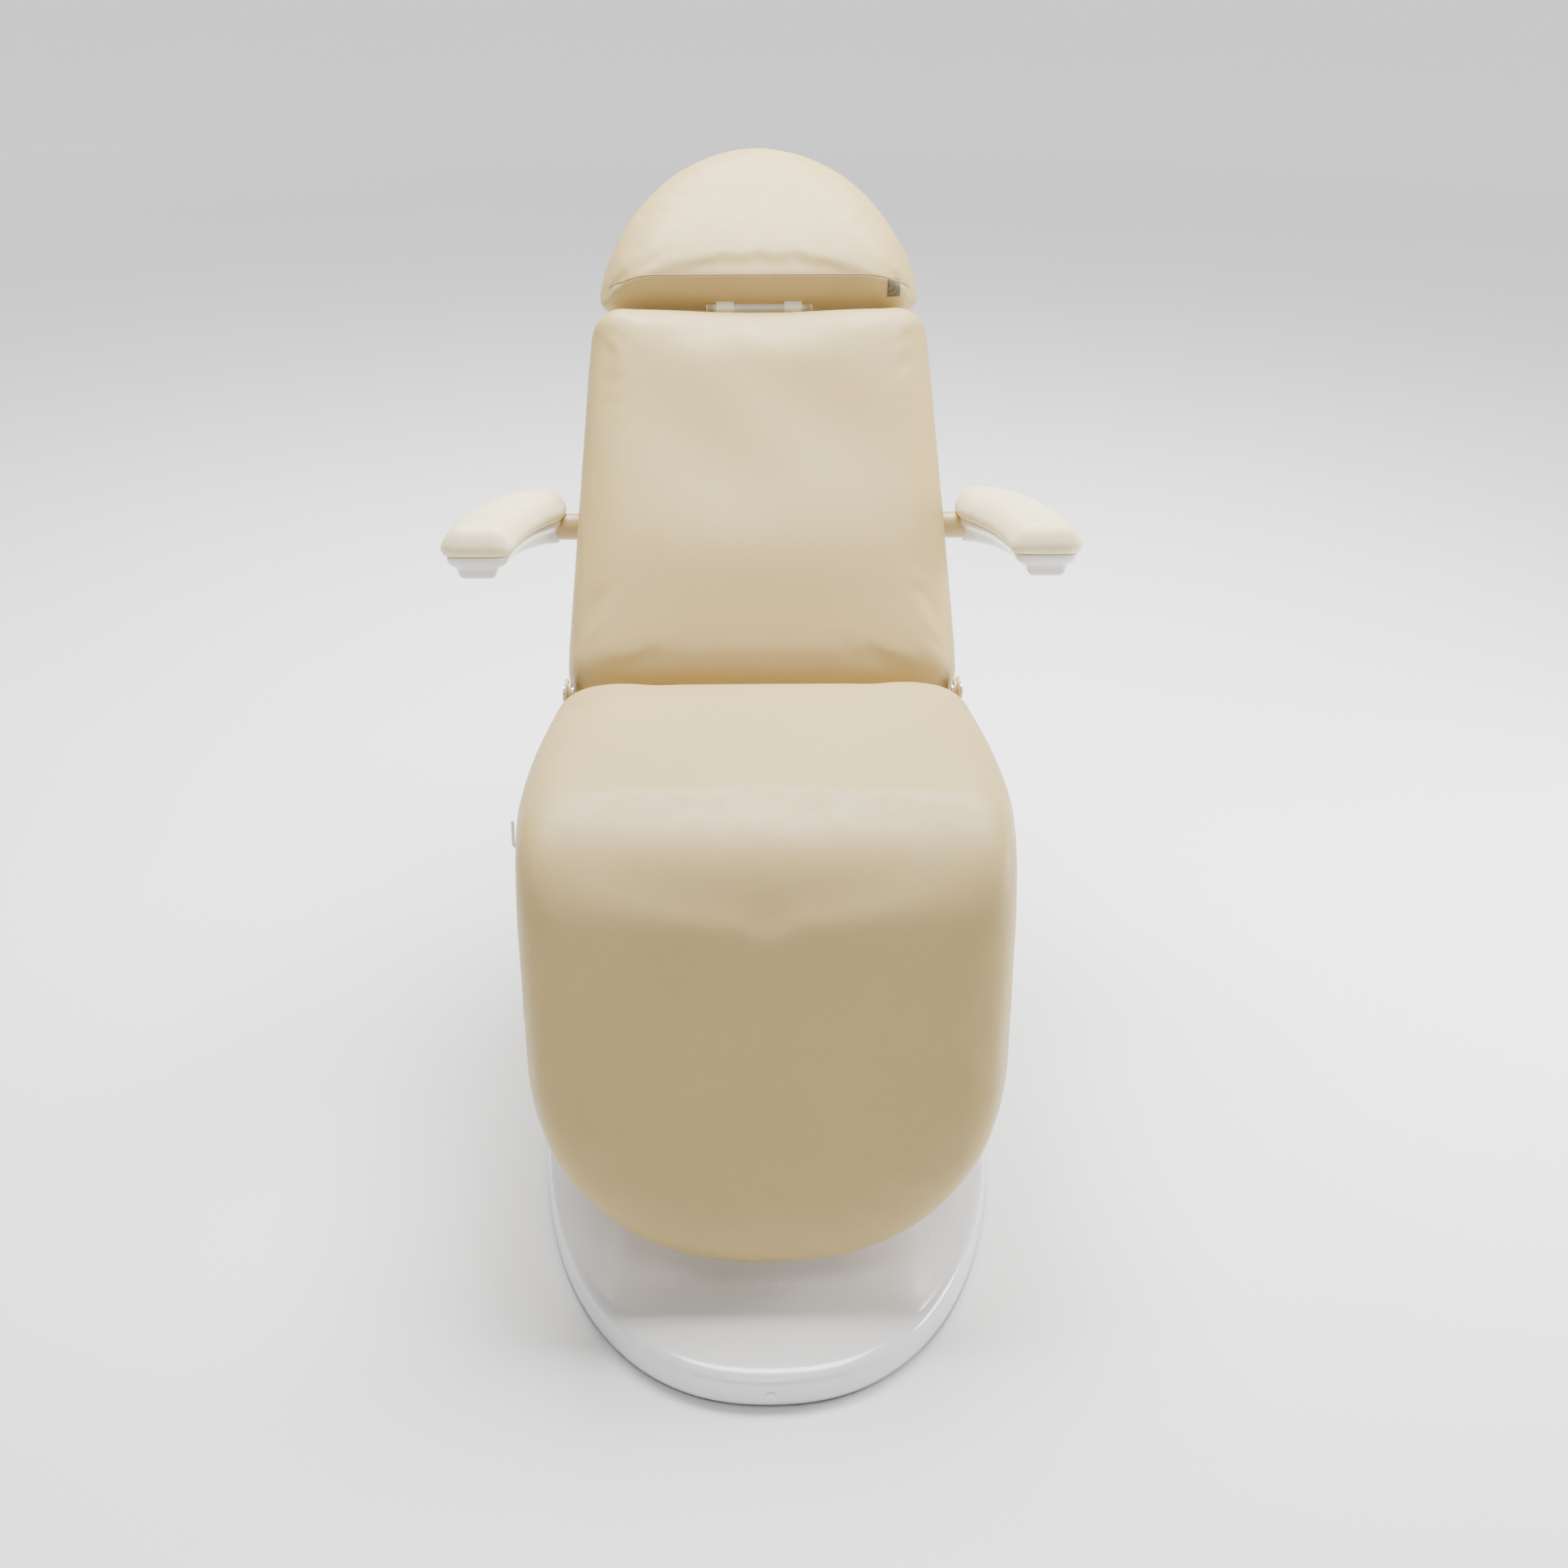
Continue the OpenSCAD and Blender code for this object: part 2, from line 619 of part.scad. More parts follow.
module backrest_frame() color(steel) in_back() difference() {
    union() {
        both_sides() {
            tube_y(165, 30, 36, 560, rail_top - back_rail_h, rail_top);
            box([179, 36, rail_top - 26], [hinge_x + plate_t, 60, rail_top]);
            box([hinge_x, 4, rail_top - 26], [hinge_x + plate_t, 60, rail_top]);
            box([hinge_x, -16, rail_top - 1], [hinge_x + plate_t, 16, 0]);
            rod_x(16, hinge_x, hinge_x + plate_t);
            across([[520, rail_top - 24], [520, rail_top], [571, rail_top],
                [head_pivot[0] - 5.1, head_pivot[1] + 6.1], [head_pivot[0] + 5.1, head_pivot[1] - 6.1],
                [569, rail_top - 24]], 4, 72);
            rod_x(11, 68, 76, head_pivot[0], head_pivot[1]);
        }
        for (y = [36, 178, 333, 520]) box([-151, y, rail_top - 26], [151, y + 30, rail_top]);
        for (side = [-1, 1])
            across([[60, rail_top - 26], [60, rail_top - 4], [36, rail_top - 4],
                [back_pin[0] - 8, back_pin[1] + 9], [back_pin[0] - 8, back_pin[1] - 9]],
                2.5, actuator_x + side * 11.5);
    }
    rod_x(hinge_r + fit, -300, 300);
    rod_x(8 + fit, -100, 100, head_pivot[0], head_pivot[1]);
    rod_x(pin_r, 0, 100, back_pin[0], back_pin[1]);
}

module back_lever_pin() color(alloy) in_back()
    rod_x(pin_r, actuator_x - 16, actuator_x + 16, back_pin[0], back_pin[1]);

module armrest_sleeves() color(steel) in_back() both_sides() difference() {
    rod_x(arm_tube_r + 6, 180, 244, arm_up, arm_back_z);
    rod_x(arm_tube_r + fit, 179, 245, arm_up, arm_back_z);
}

shell_depth = 62;

// Ring of the rear shell at a height below the board, drawn in by an inset
function shell_ring(z, inset) = let (mid = (back_start + back_end) / 2, share = 1 - (inset + 6) / (back_len / 2))
    [for (p = mirrored(back_ys, function (y) back_width(y)))
        [p[0] - sign(p[0]) * inset, mid + (p[1] - mid) * share, z]];

module shell_solid(grow) loft([for (a = [90:-15:0])
    let (depth = shell_depth * sin(a) - grow * sin(a))
    shell_ring(back_low - depth, 6 + grow + 34 * (1 - cos(a)))]);

module backrest_shell() color(beige) in_back() difference() {
    shell_solid(0);
    translate([0, 0, 0.5]) shell_solid(4);
    box([-400, -50, back_low - 0.4], [400, 700, 50]);
    rod_x(arm_tube_r + 7, -400, 400, arm_up, arm_back_z);
    box([actuator_x - 20, -40, -140], [actuator_x + 20, 62, rail_top + 8]);
    both_sides() {
        box([hinge_x - 84, -40, -140], [hinge_x + 10, 62, 0]);
        box([62, 560, -140], [82, 700, 0]);
    }
}

// ---- Leg section ----

leg_mid = -200;

// Half-width of the leg section at y in its own frame
function leg_width(y) = let (k = min(1, max(0, -y / 200)))
    (seat_half - 7 - (seat_half - 7 - leg_half) * k)
    * (y > leg_mid ? 1 : superellipse(1, (leg_mid - y) / (leg_len + leg_mid)));

leg_ys = concat([-1, -40, -80, -120, -160],
    [for (a = [0:7.5:82.5]) leg_mid - (leg_len + leg_mid) * sin(a)], [-leg_len + tip_trim]);

leg_low = knee_h - cushion_t;
module leg_cushion() color(beige) in_leg() difference() {
    intersection() {
        plate(mirrored(leg_ys, function (y) leg_width(y)), leg_low, knee_h);
        across([[-1, leg_low], [-1, knee_h - bend_r * (1 - cos(bend_share))], [-1 - bend_run, knee_h],
            [-leg_len + 10, knee_h], [-leg_len, knee_h - 12], [-leg_len, leg_low]], 400);
    }
    rod_x(bolster_r + 0.7, -400, 400);
}

module leg_board() color("#B9A57E") in_leg()
    plate(mirrored([for (y = leg_ys) min(y, -78)], function (y) max(2, leg_width(y - 16) - 16)),
        leg_low - board_t, leg_low);

module leg_frame() color(steel) in_leg() difference() {
    top = leg_low - board_t;
    union() {
        both_sides() {
            tube_y(132, 25, -330, -80, top - 32, top);
            box([knee_x + 7, -100, -24], [knee_x + 15, 0, -2]);
            rod_x(24, knee_x + 7, knee_x + 15);
        }
        box([-knee_x - 15, -110, top - 30], [knee_x + 15, -80, top - 1]);
        box([-121, -300, top - 26], [121, -270, top]);
        for (side = [-1, 1])
            across([[-108, top - 28], [-82, top - 28], [leg_pin[0] + 9, leg_pin[1]], [leg_pin[0] - 9, leg_pin[1] - 6]],
                2.5, -actuator_x + side * 11.5);
        for (side = [-1, 1]) rod_x(10, -actuator_x + side * 11.5 - 2.5, -actuator_x + side * 11.5 + 2.5,
            leg_pin[0], leg_pin[1]);
    }
    rod_x(shaft_r + fit, -300, 300);
    rod_x(pin_r, -100, 0, leg_pin[0], leg_pin[1]);
}

module leg_lever_pin() color(alloy) in_leg()
    rod_x(pin_r, -actuator_x - 16, -actuator_x + 16, leg_pin[0], leg_pin[1]);

// ---- Headrest ----

// Half-width of the headrest at y in its own frame
function head_width(y) = let (d = y - head_start)
    (d < 20 ? head_half : head_half * sqrt(max(0, 1 - pow((d - 20) / (head_len - 20), 2)))) - corner(d, 24);

head_ys = concat([for (d = corner_steps(24)) head_start + d],
    [for (a = [5:7.5:80]) head_start + 20 + (head_len - 20) * sin(a)], [head_start + head_len - tip_trim]);

sleeve_len = 150;

module headrest_cushion() color(beige) in_head() difference() {
    intersection() {
        plate(mirrored(head_ys, function (y) head_width(y)), head_low, head_top);
        across([[head_start, head_low], [head_start + head_len, head_low], [head_start + head_len, head_top - 14],
            [head_start + head_len - 14, head_top], [head_start + 10, head_top], [head_start, head_top - 10]], 400);
    }
    for (x = [-bar_x, bar_x]) {
        rod_y(bar_r + 4.3, head_start - 1, head_start + sleeve_len + 1, x);
        box([x - 10.3, head_start - 1, head_low - 1], [x + 10.3, head_start + sleeve_len + 1, 0]);
    }
    rod_x(15.5, -82, 82);
}

module headrest_board() color("#B9A57E") in_head() difference() {
    plate(mirrored([for (y = head_ys) min(max(y, head_start + 12), head_start + head_len - 12)],
        function (y) max(4, head_width(y) - 14)), head_low - board_t, head_low);
    translate([bar_x, head_start + 70, head_low - board_t - 1]) cylinder(r = 5 + fit, h = board_t + 2);
}

module headrest_sleeves() color(steel) in_head() difference() {
    for (x = [-bar_x, bar_x]) {
        rod_y(bar_r + 4, head_start + 10, head_start + sleeve_len, x);
        box([x - 10, head_start + 10, head_low], [x + 10, head_start + sleeve_len, -10]);
    }
    for (x = [-bar_x, bar_x]) rod_y(bar_r + fit, head_start - 1, head_start + sleeve_len + 1, x);
    translate([bar_x, head_start + 70, head_low - 1]) cylinder(r = 5 + fit, h = 14);
}

module headrest_arm() color(cream) in_head() {
    rod_x(8, -78, 78);
    for (x = [-bar_x, bar_x]) {
        rod_y(bar_r, 0, 140, x);
        rod_x(bar_r, x - bar_r, x + bar_r);
    }
}

module headrest_clamp_knob() color(dark) in_head() translate([bar_x, head_start + 70, 0]) {
    translate([0, 0, -bar_r - 1.5 - 32]) cylinder(r = 5, h = 32);
    translate([0, 0, -bar_r - 1.5 - 32 - 20]) {
        cylinder(r = 16, h = 20);
        for (a = [0:72:359]) rotate(a) translate([15, 0, 0]) cylinder(r = 5, h = 20);
    }
}

module headrest_tag() color("#6A6148") in_head()
    translate([head_half - 40, head_start - 14, 34]) cube([9, 14, 1.2]);

// ---- Armrests ----

// Point of the armrest's curve at angle a, moved sideways by s
function arm_point(a, s) = let (
        tx = arm_reach * cos(a),
        ty = -arm_run * sin(a),
        len = sqrt(tx * tx + ty * ty))
    [arm_start[0] + arm_reach * sin(a) - s * ty / len,
     arm_start[1] - arm_run * (1 - cos(a)) + s * tx / len];

arm_angles = [0, 8, 16, 24, 32, 42, 54, 68, 80, 90];

// Outline of the pad, its sides drawn in by an inset, its rear tip narrowed
function arm_half(a, inset) = pad_w / 2 - inset - 22 * pow(max(0, 1 - a / 30), 2);
function arm_outline(inset) = concat(
    [for (a = arm_angles) arm_point(a, arm_half(a, inset)) + [a == 0 ? inset : 0, a == 90 ? inset : 0]],
    [for (i = [len(arm_angles) - 1:-1:0]) let (a = arm_angles[i])
        arm_point(a, -arm_half(a, inset)) + [a == 0 ? inset : 0, a == 90 ? inset : 0]]);

module armrest_tube() color(beige) in_arm() difference() {
    rod_x(arm_tube_r, 182, 326);
    rod_x(arm_tube_r - 3, 180, 300);
}

module armrest_shell() color(white) in_arm() difference() {
    union() {
        plate(arm_outline(5), -1, pad_z);
        rod_x(arm_tube_r + 7, 300, 334);
        translate([arm_start[0] + arm_reach, arm_start[1] - arm_run + 90, -17])
            linear_extrude(20) round_rect(50, 170, 14);
    }
    rod_x(arm_tube_r + 0.2, 270, 326);
}

module armrest_pad() color(cream) in_arm() difference() {
    plate(arm_outline(0), pad_z, pad_z + pad_t);
    rod_x(arm_tube_r + 7.5, 270, 334.5);
}

module armrest_tube_right() armrest_tube();
module armrest_shell_right() armrest_shell();
module armrest_pad_right() armrest_pad();
module armrest_tube_left() mirror([1, 0, 0]) armrest_tube();
module armrest_shell_left() mirror([1, 0, 0]) armrest_shell();
module armrest_pad_left() mirror([1, 0, 0]) armrest_pad();

base_frame();
base_hood();
levelling_feet();
hood_screw_caps();
wheel_axles();
transport_wheel_left();
transport_wheel_right();
power_inlet();
power_switch();
control_box();
column_outer();
column_middle();
column_inner();
cover_lower();
cover_middle();
cover_upper();
lift_tube();
lift_stage();
lift_rod();
carriage();
seat_frame();
seat_board();
seat_cushion();
knee_bolster();
knee_shaft();
back_hinge_pins();
back_actuator();
back_motor();
leg_actuator();
leg_motor();
actuator_pins();
handset_hook();
back_rod();
leg_rod();
backrest_frame();
backrest_board();
backrest_shell();
backrest_cushion();
back_lever_pin();
armrest_sleeves();
leg_frame();
leg_board();
leg_cushion();
leg_lever_pin();
headrest_arm();
headrest_cushion();
headrest_board();
headrest_sleeves();
headrest_tag();
headrest_clamp_knob();
armrest_tube_left();
armrest_shell_left();
armrest_pad_left();
armrest_tube_right();
armrest_shell_right();
armrest_pad_right();
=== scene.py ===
"""Looks of the electric treatment chair: upholstery, mouldings, materials, light and camera, in metres."""

import json
import math

import bmesh
import bpy
import numpy as np
from mathutils import Matrix, Vector
from mathutils.bvhtree import BVHTree
from mathutils.kdtree import KDTree


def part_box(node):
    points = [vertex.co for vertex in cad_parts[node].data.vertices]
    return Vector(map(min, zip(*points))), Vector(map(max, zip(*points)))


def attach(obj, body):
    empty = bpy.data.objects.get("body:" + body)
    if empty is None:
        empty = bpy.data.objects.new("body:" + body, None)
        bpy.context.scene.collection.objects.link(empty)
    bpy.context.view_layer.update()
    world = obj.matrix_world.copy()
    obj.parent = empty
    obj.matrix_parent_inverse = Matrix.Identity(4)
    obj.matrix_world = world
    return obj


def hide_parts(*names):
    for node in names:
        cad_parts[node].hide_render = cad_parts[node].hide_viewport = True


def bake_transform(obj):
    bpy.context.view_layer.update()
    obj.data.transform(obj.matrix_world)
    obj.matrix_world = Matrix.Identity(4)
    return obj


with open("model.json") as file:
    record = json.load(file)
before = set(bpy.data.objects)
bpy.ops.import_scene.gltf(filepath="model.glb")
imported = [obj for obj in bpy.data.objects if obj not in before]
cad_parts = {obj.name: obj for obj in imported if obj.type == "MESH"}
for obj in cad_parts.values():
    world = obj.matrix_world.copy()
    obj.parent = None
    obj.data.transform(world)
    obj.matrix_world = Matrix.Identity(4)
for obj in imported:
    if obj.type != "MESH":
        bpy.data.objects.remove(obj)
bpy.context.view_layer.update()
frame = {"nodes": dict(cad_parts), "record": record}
NODES = frame["nodes"]


# ---- Frames of the moving sections, as the CAD model has them ----


def shifted(x, y, z):
    return Matrix.Translation((x, y, z))


def tilted(degrees):
    return Matrix.Rotation(math.radians(degrees), 4, "X")


KNEE_TURN = math.radians(68)
SEAT = shifted(0, 0.080, 0.512) @ tilted(-3)
BACK = shifted(0, 0.080, 0.512) @ tilted(45)
LEG = SEAT @ shifted(0, -0.500, -0.062) @ tilted(68)
HEAD = BACK @ shifted(0, 0.622, -0.028) @ tilted(-17)
ARM = BACK @ shifted(0, 0.290, -0.075) @ tilted(-53)
MIRROR = Matrix.Scale(-1, 4, (1, 0, 0))


# ---- Materials ----


class Shader:
    """A node tree under construction, with short ways to add the nodes that every material here uses."""

    def __init__(self, name):
        self.material = bpy.data.materials.new(name)
        self.material.use_nodes = True
        self.tree = self.material.node_tree
        self.tree.nodes.clear()
        self.output = self.add("ShaderNodeOutputMaterial")
        self.skin = self.add("ShaderNodeBsdfPrincipled")
        self.link(self.skin.outputs["BSDF"], self.output.inputs["Surface"])
        self.place = self.add("ShaderNodeTexCoord").outputs["Object"]

    def add(self, kind, **values):
        node = self.tree.nodes.new(kind)
        for key, value in values.items():
            if hasattr(node, key):
                setattr(node, key, value)
            else:
                node.inputs[key].default_value = value
        return node

    def link(self, source, target):
        self.tree.links.new(source, target)

    def noise(self, scale, detail=3.0, stretch=None):
        place = self.place
        if stretch:
            mapping = self.add("ShaderNodeMapping", Scale=stretch)
            self.link(place, mapping.inputs["Vector"])
            place = mapping.outputs["Vector"]
        node = self.add("ShaderNodeTexNoise", Scale=scale, Detail=detail)
        self.link(place, node.inputs["Vector"])
        return node.outputs["Fac"]

    def cells(self, scale):
        node = self.add("ShaderNodeTexVoronoi", Scale=scale, feature="F1")
        self.link(self.place, node.inputs["Vector"])
        return node.outputs["Distance"]

    def ranged(self, value, low, high, source_low=0.3, source_high=0.7):
        node = self.add("ShaderNodeMapRange")
        node.inputs["From Min"].default_value = source_low
        node.inputs["From Max"].default_value = source_high
        node.inputs["To Min"].default_value = low
        node.inputs["To Max"].default_value = high
        self.link(value, node.inputs["Value"])
        return node.outputs["Result"]

    def mixed(self, share, a, b):
        node = self.add("ShaderNodeMix", data_type="RGBA")
        self.link(share, node.inputs[0])
        for socket, colour in ((node.inputs[6], a), (node.inputs[7], b)):
            if isinstance(colour, tuple):
                socket.default_value = (*colour, 1.0)
            else:
                self.link(colour, socket)
        return node.outputs[2]

    def bump(self, height, strength, distance, under=None):
        node = self.add("ShaderNodeBump", Strength=strength, Distance=distance)
        self.link(height, node.inputs["Height"])
        if under:
            self.link(under, node.inputs["Normal"])
        return node.outputs["Normal"]

    def edges(self):
        """1 on worn outer edges, 0 elsewhere."""
        geometry = self.add("ShaderNodeNewGeometry")
        return self.ranged(geometry.outputs["Pointiness"], 0.0, 1.0, 0.52, 0.60)

    def set(self, **values):
        for key, value in values.items():
            socket = self.skin.inputs[key.replace("_", " ")]
            if hasattr(value, "node"):
                self.link(value, socket)
            elif isinstance(value, tuple) and len(value) == 3:
                socket.default_value = (*value, 1.0)
            else:
                socket.default_value = value
        return self.material


def shade(colour, factor):
    return tuple(min(1.0, c * factor) for c in colour)


def vinyl(name, colour, grain=1100.0):
    """Smooth upholstery vinyl: fine pebbled grain, soft creases, and tone that varies over a hand's width."""
    s = Shader(name)
    broad = s.ranged(s.noise(5.0, 3.0), 0.0, 1.0)
    tone = s.mixed(broad, shade(colour, 0.955), shade(colour, 1.03))
    fine = s.ranged(s.noise(160.0, 4.0), 0.0, 0.35)
    tone = s.mixed(fine, tone, shade(colour, 0.90))
    pebble = s.bump(s.cells(grain), 0.10, 0.0004)
    creases = s.bump(s.noise(26.0, 5.0, (1.0, 1.6, 1.0)), 0.10, 0.0025, pebble)
    return s.set(
        Base_Color=tone,
        Roughness=s.ranged(s.noise(40.0, 4.0), 0.40, 0.52),
        Normal=creases,
        Specular_IOR_Level=0.34,
        Sheen_Weight=0.04,
        Sheen_Roughness=0.45,
        Sheen_Tint=shade(colour, 1.2),
    )


def moulding(name, colour, roughness=0.2, coat=0.5, grain=0.03):
    """Injection-moulded or vacuum-formed plastic: slight orange peel, faint scuffs, edges rubbed lighter."""
    s = Shader(name)
    tone = s.mixed(s.ranged(s.noise(4.0), 0.0, 1.0), shade(colour, 0.97), shade(colour, 1.02))
    tone = s.mixed(s.edges(), tone, shade(colour, 1.06))
    scuffs = s.ranged(s.noise(70.0, 6.0, (1.0, 0.25, 1.0)), roughness, roughness + 0.14, 0.45, 0.75)
    return s.set(
        Base_Color=tone,
        Roughness=scuffs,
        Normal=s.bump(s.noise(180.0, 2.0), grain, 0.0006),
        Coat_Weight=coat,
        Coat_Roughness=0.12,
    )


def powder_coat(name, colour):
    """Powder coat on steel: orange peel, and lighter where handling has rubbed the edges."""
    s = Shader(name)
    tone = s.mixed(s.ranged(s.noise(9.0), 0.0, 1.0), shade(colour, 0.93), shade(colour, 1.05))
    tone = s.mixed(s.edges(), tone, shade(colour, 1.25))
    return s.set(
        Base_Color=tone,
        Roughness=s.ranged(s.noise(55.0, 4.0), 0.38, 0.54),
        Normal=s.bump(s.noise(420.0, 2.0), 0.16, 0.0005),
        Metallic=0.15,
    )


def metal(name, colour, along, roughness=0.26):
    """Ground or extruded metal with fine lines along one direction, and darker traces of handling."""
    s = Shader(name)
    stretch = tuple(0.02 if i == along else 1.0 for i in range(3))
    lines = s.noise(900.0, 3.0, stretch)
    tone = s.mixed(s.ranged(s.noise(12.0, 4.0), 0.0, 1.0), shade(colour, 0.86), colour)
    return s.set(
        Base_Color=tone,
        Roughness=s.ranged(lines, roughness, roughness + 0.16),
        Normal=s.bump(lines, 0.10, 0.0003),
        Metallic=1.0,
    )


def rubber(name, colour):
    s = Shader(name)
    tone = s.mixed(s.ranged(s.noise(60.0, 5.0), 0.0, 1.0), colour, shade(colour, 2.2))
    return s.set(
        Base_Color=tone,
        Roughness=s.ranged(s.noise(90.0, 4.0), 0.70, 0.88),
        Normal=s.bump(s.noise(700.0, 3.0), 0.3, 0.0004),
    )


def plywood(name, colour):
    """Birch plywood: long grain on the face, with darker veins."""
    s = Shader(name)
    veins = s.ranged(s.noise(120.0, 5.0, (1.0, 0.04, 0.04)), 0.0, 1.0, 0.42, 0.66)
    tone = s.mixed(veins, shade(colour, 1.06), shade(colour, 0.84))
    return s.set(
        Base_Color=tone,
        Roughness=s.ranged(s.noise(90.0, 3.0), 0.55, 0.70),
        Normal=s.bump(veins, 0.12, 0.0004),
    )


def woven(name, colour, pitch=0.0009):
    """Plain woven ribbon: two crossing sets of threads."""
    s = Shader(name)
    threads = [
        s.add("ShaderNodeTexWave", Scale=0.16 / pitch, bands_direction=axis, Distortion=0.4)
        for axis in ("X", "Y")
    ]
    for thread in threads:
        s.link(s.place, thread.inputs["Vector"])
    weave = s.add("ShaderNodeMath", operation="MULTIPLY")
    for socket, thread in zip(weave.inputs, threads):
        s.link(thread.outputs["Fac"], socket)
    tone = s.mixed(weave.outputs["Value"], shade(colour, 0.7), shade(colour, 1.6))
    return s.set(
        Base_Color=tone,
        Roughness=s.ranged(s.noise(300.0), 0.75, 0.9),
        Normal=s.bump(weave.outputs["Value"], 0.5, 0.0004),
        Sheen_Weight=0.3,
    )


BEIGE = (0.490, 0.362, 0.148)
CREAM = (0.860, 0.760, 0.470)
WHITE = (0.800, 0.795, 0.800)

MATERIALS = {
    "vinyl_seat": vinyl("beige_vinyl", BEIGE),
    "vinyl_armrest": vinyl("cream_vinyl", CREAM, 1300.0),
    "hood_white": moulding("white_gloss_abs", WHITE, 0.16, 0.6),
    "beige_shell": moulding("beige_shell_plastic", shade(BEIGE, 0.92), 0.36, 0.1, 0.06),
    "cream_metal": powder_coat("cream_powder_coat", (0.82, 0.77, 0.62)),
    "painted_steel": powder_coat("grey_powder_coat", (0.16, 0.165, 0.175)),
    "bright_steel": metal("ground_steel", (0.62, 0.63, 0.65), 1),
    "column_alloy": metal("anodised_extrusion", (0.66, 0.67, 0.69), 2, 0.34),
    "black_plastic": moulding("black_moulded_plastic", (0.022, 0.022, 0.024), 0.42, 0.0, 0.10),
    "wheel_rubber": rubber("wheel_tread", (0.018, 0.018, 0.018)),
    "rocker_red": moulding("red_rocker_plastic", (0.42, 0.02, 0.02), 0.22, 0.3),
    "plywood": plywood("birch_plywood", (0.56, 0.42, 0.26)),
    "white_wire": moulding("white_coated_wire", (0.78, 0.77, 0.72), 0.30, 0.2),
    "tag_cloth": woven("olive_woven_tag", (0.115, 0.095, 0.048)),
    "piping": vinyl("pale_piping_vinyl", shade(CREAM, 0.97), 1500.0),
    # seam: beige darkened to 0.62, painted shadow along the headrest's front seam, where the top panel folds over the
    # front wall
    "seam": vinyl("shadowed_seam_vinyl", shade(BEIGE, 0.62), 1500.0),
}


def finish_with(piece, slot, material=None):
    piece.data.materials.clear()
    piece.data.materials.append(MATERIALS[material or slot])
    return piece


def dress_cad():
    """Gives every CAD node its material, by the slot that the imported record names."""
    for part in frame["record"]["subparts"]:
        for slot in NODES[part["node"]].material_slots:
            slot.material = MATERIALS[part["material_slot"]]


# ---- Mesh tools ----


def piece_from(name, points, faces, smooth=True):
    mesh = bpy.data.meshes.new(name)
    mesh.from_pydata([tuple(p) for p in points], [], faces)
    mesh.validate()
    mesh.update()
    piece = bpy.data.objects.new(name, mesh)
    bpy.context.scene.collection.objects.link(piece)
    if smooth:
        mesh.polygons.foreach_set("use_smooth", [True] * len(mesh.polygons))
    return piece


def recalculate(piece):
    bm = bmesh.new()
    bm.from_mesh(piece.data)
    bmesh.ops.recalc_face_normals(bm, faces=bm.faces)
    bm.to_mesh(piece.data)
    bm.free()
    return piece


def bake(piece):
    """Applies all of a piece's modifiers."""
    bpy.context.view_layer.update()
    graph = bpy.context.evaluated_depsgraph_get()
    mesh = bpy.data.meshes.new_from_object(piece.evaluated_get(graph))
    piece.modifiers.clear()
    piece.data = mesh
    mesh.polygons.foreach_set("use_smooth", [True] * len(mesh.polygons))
    return piece


def remesh(piece, voxel):
    modifier = piece.modifiers.new("Remesh", "REMESH")
    modifier.mode = "VOXEL"
    modifier.voxel_size = voxel
    return bake(piece)


def subdivide(piece, levels=1):
    modifier = piece.modifiers.new("Subdivision", "SUBSURF")
    modifier.levels = levels
    modifier.render_levels = levels
    return bake(piece)


def relax(piece, rounds, factor=0.5):
    modifier = piece.modifiers.new("Smooth", "SMOOTH")
    modifier.iterations = rounds
    modifier.factor = factor
    return bake(piece)


def points_of(piece):
    co = np.zeros(len(piece.data.vertices) * 3)
    piece.data.vertices.foreach_get("co", co)
    return co.reshape(-1, 3)


def set_points(piece, co):
    piece.data.vertices.foreach_set("co", co.astype(np.float32).ravel())
    piece.data.update()


def placed(piece, matrix):
    piece.data.transform(matrix)
    piece.data.update()
    return piece


def move_points(co, matrix):
    m = np.array(matrix)
    return co @ m[:3, :3].T + m[:3, 3]


def loft(name, rings, capped=True):
    """A skin through rings of equally many points."""
    n = len(rings[0])
    points = [p for ring in rings for p in ring]
    faces = [
        (j * n + i, j * n + (i + 1) % n, (j + 1) * n + (i + 1) % n, (j + 1) * n + i)
        for j in range(len(rings) - 1)
        for i in range(n)
    ]
    if capped:
        faces.append(tuple(reversed(range(n))))
        faces.append(tuple((len(rings) - 1) * n + i for i in range(n)))
    return recalculate(piece_from(name, points, faces))


def block(low, high):
    corners = [(x, y, z) for x in (low[0], high[0]) for y in (low[1], high[1]) for z in (low[2], high[2])]
    faces = [(0, 1, 3, 2), (4, 6, 7, 5), (0, 4, 5, 1), (2, 3, 7, 6), (0, 2, 6, 4), (1, 5, 7, 3)]
    return recalculate(piece_from("block", corners, faces, smooth=False))


def cut(piece, cutter):
    """Takes the cutter's volume out of a piece, and removes the cutter."""
    modifier = piece.modifiers.new("Cut", "BOOLEAN")
    modifier.operation = "DIFFERENCE"
    modifier.solver = "EXACT"
    modifier.object = cutter
    bake(piece)
    bpy.data.objects.remove(cutter)
    return piece


def tube(name, path, radius, closed=False, sides=10):
    """A round cord of vinyl or wire along a path of points."""
    path = [Vector(p) for p in path]
    count = len(path)
    rings = []
    across = None
    for i, point in enumerate(path):
        before = path[(i - 1) % count] if closed or i else point
        after = path[(i + 1) % count] if closed or i < count - 1 else point
        along = (after - before).normalized()
        if across is None:
            across = along.orthogonal().normalized()
        across = (across - along * across.dot(along)).normalized()
        other = along.cross(across)
        rings.append(
            [
                point + radius * (math.cos(a) * across + math.sin(a) * other)
                for a in (2 * math.pi * k / sides for k in range(sides))
            ]
        )
    if not closed:
        return loft(name, rings)
    return loft(name, rings + [rings[0]], capped=False)


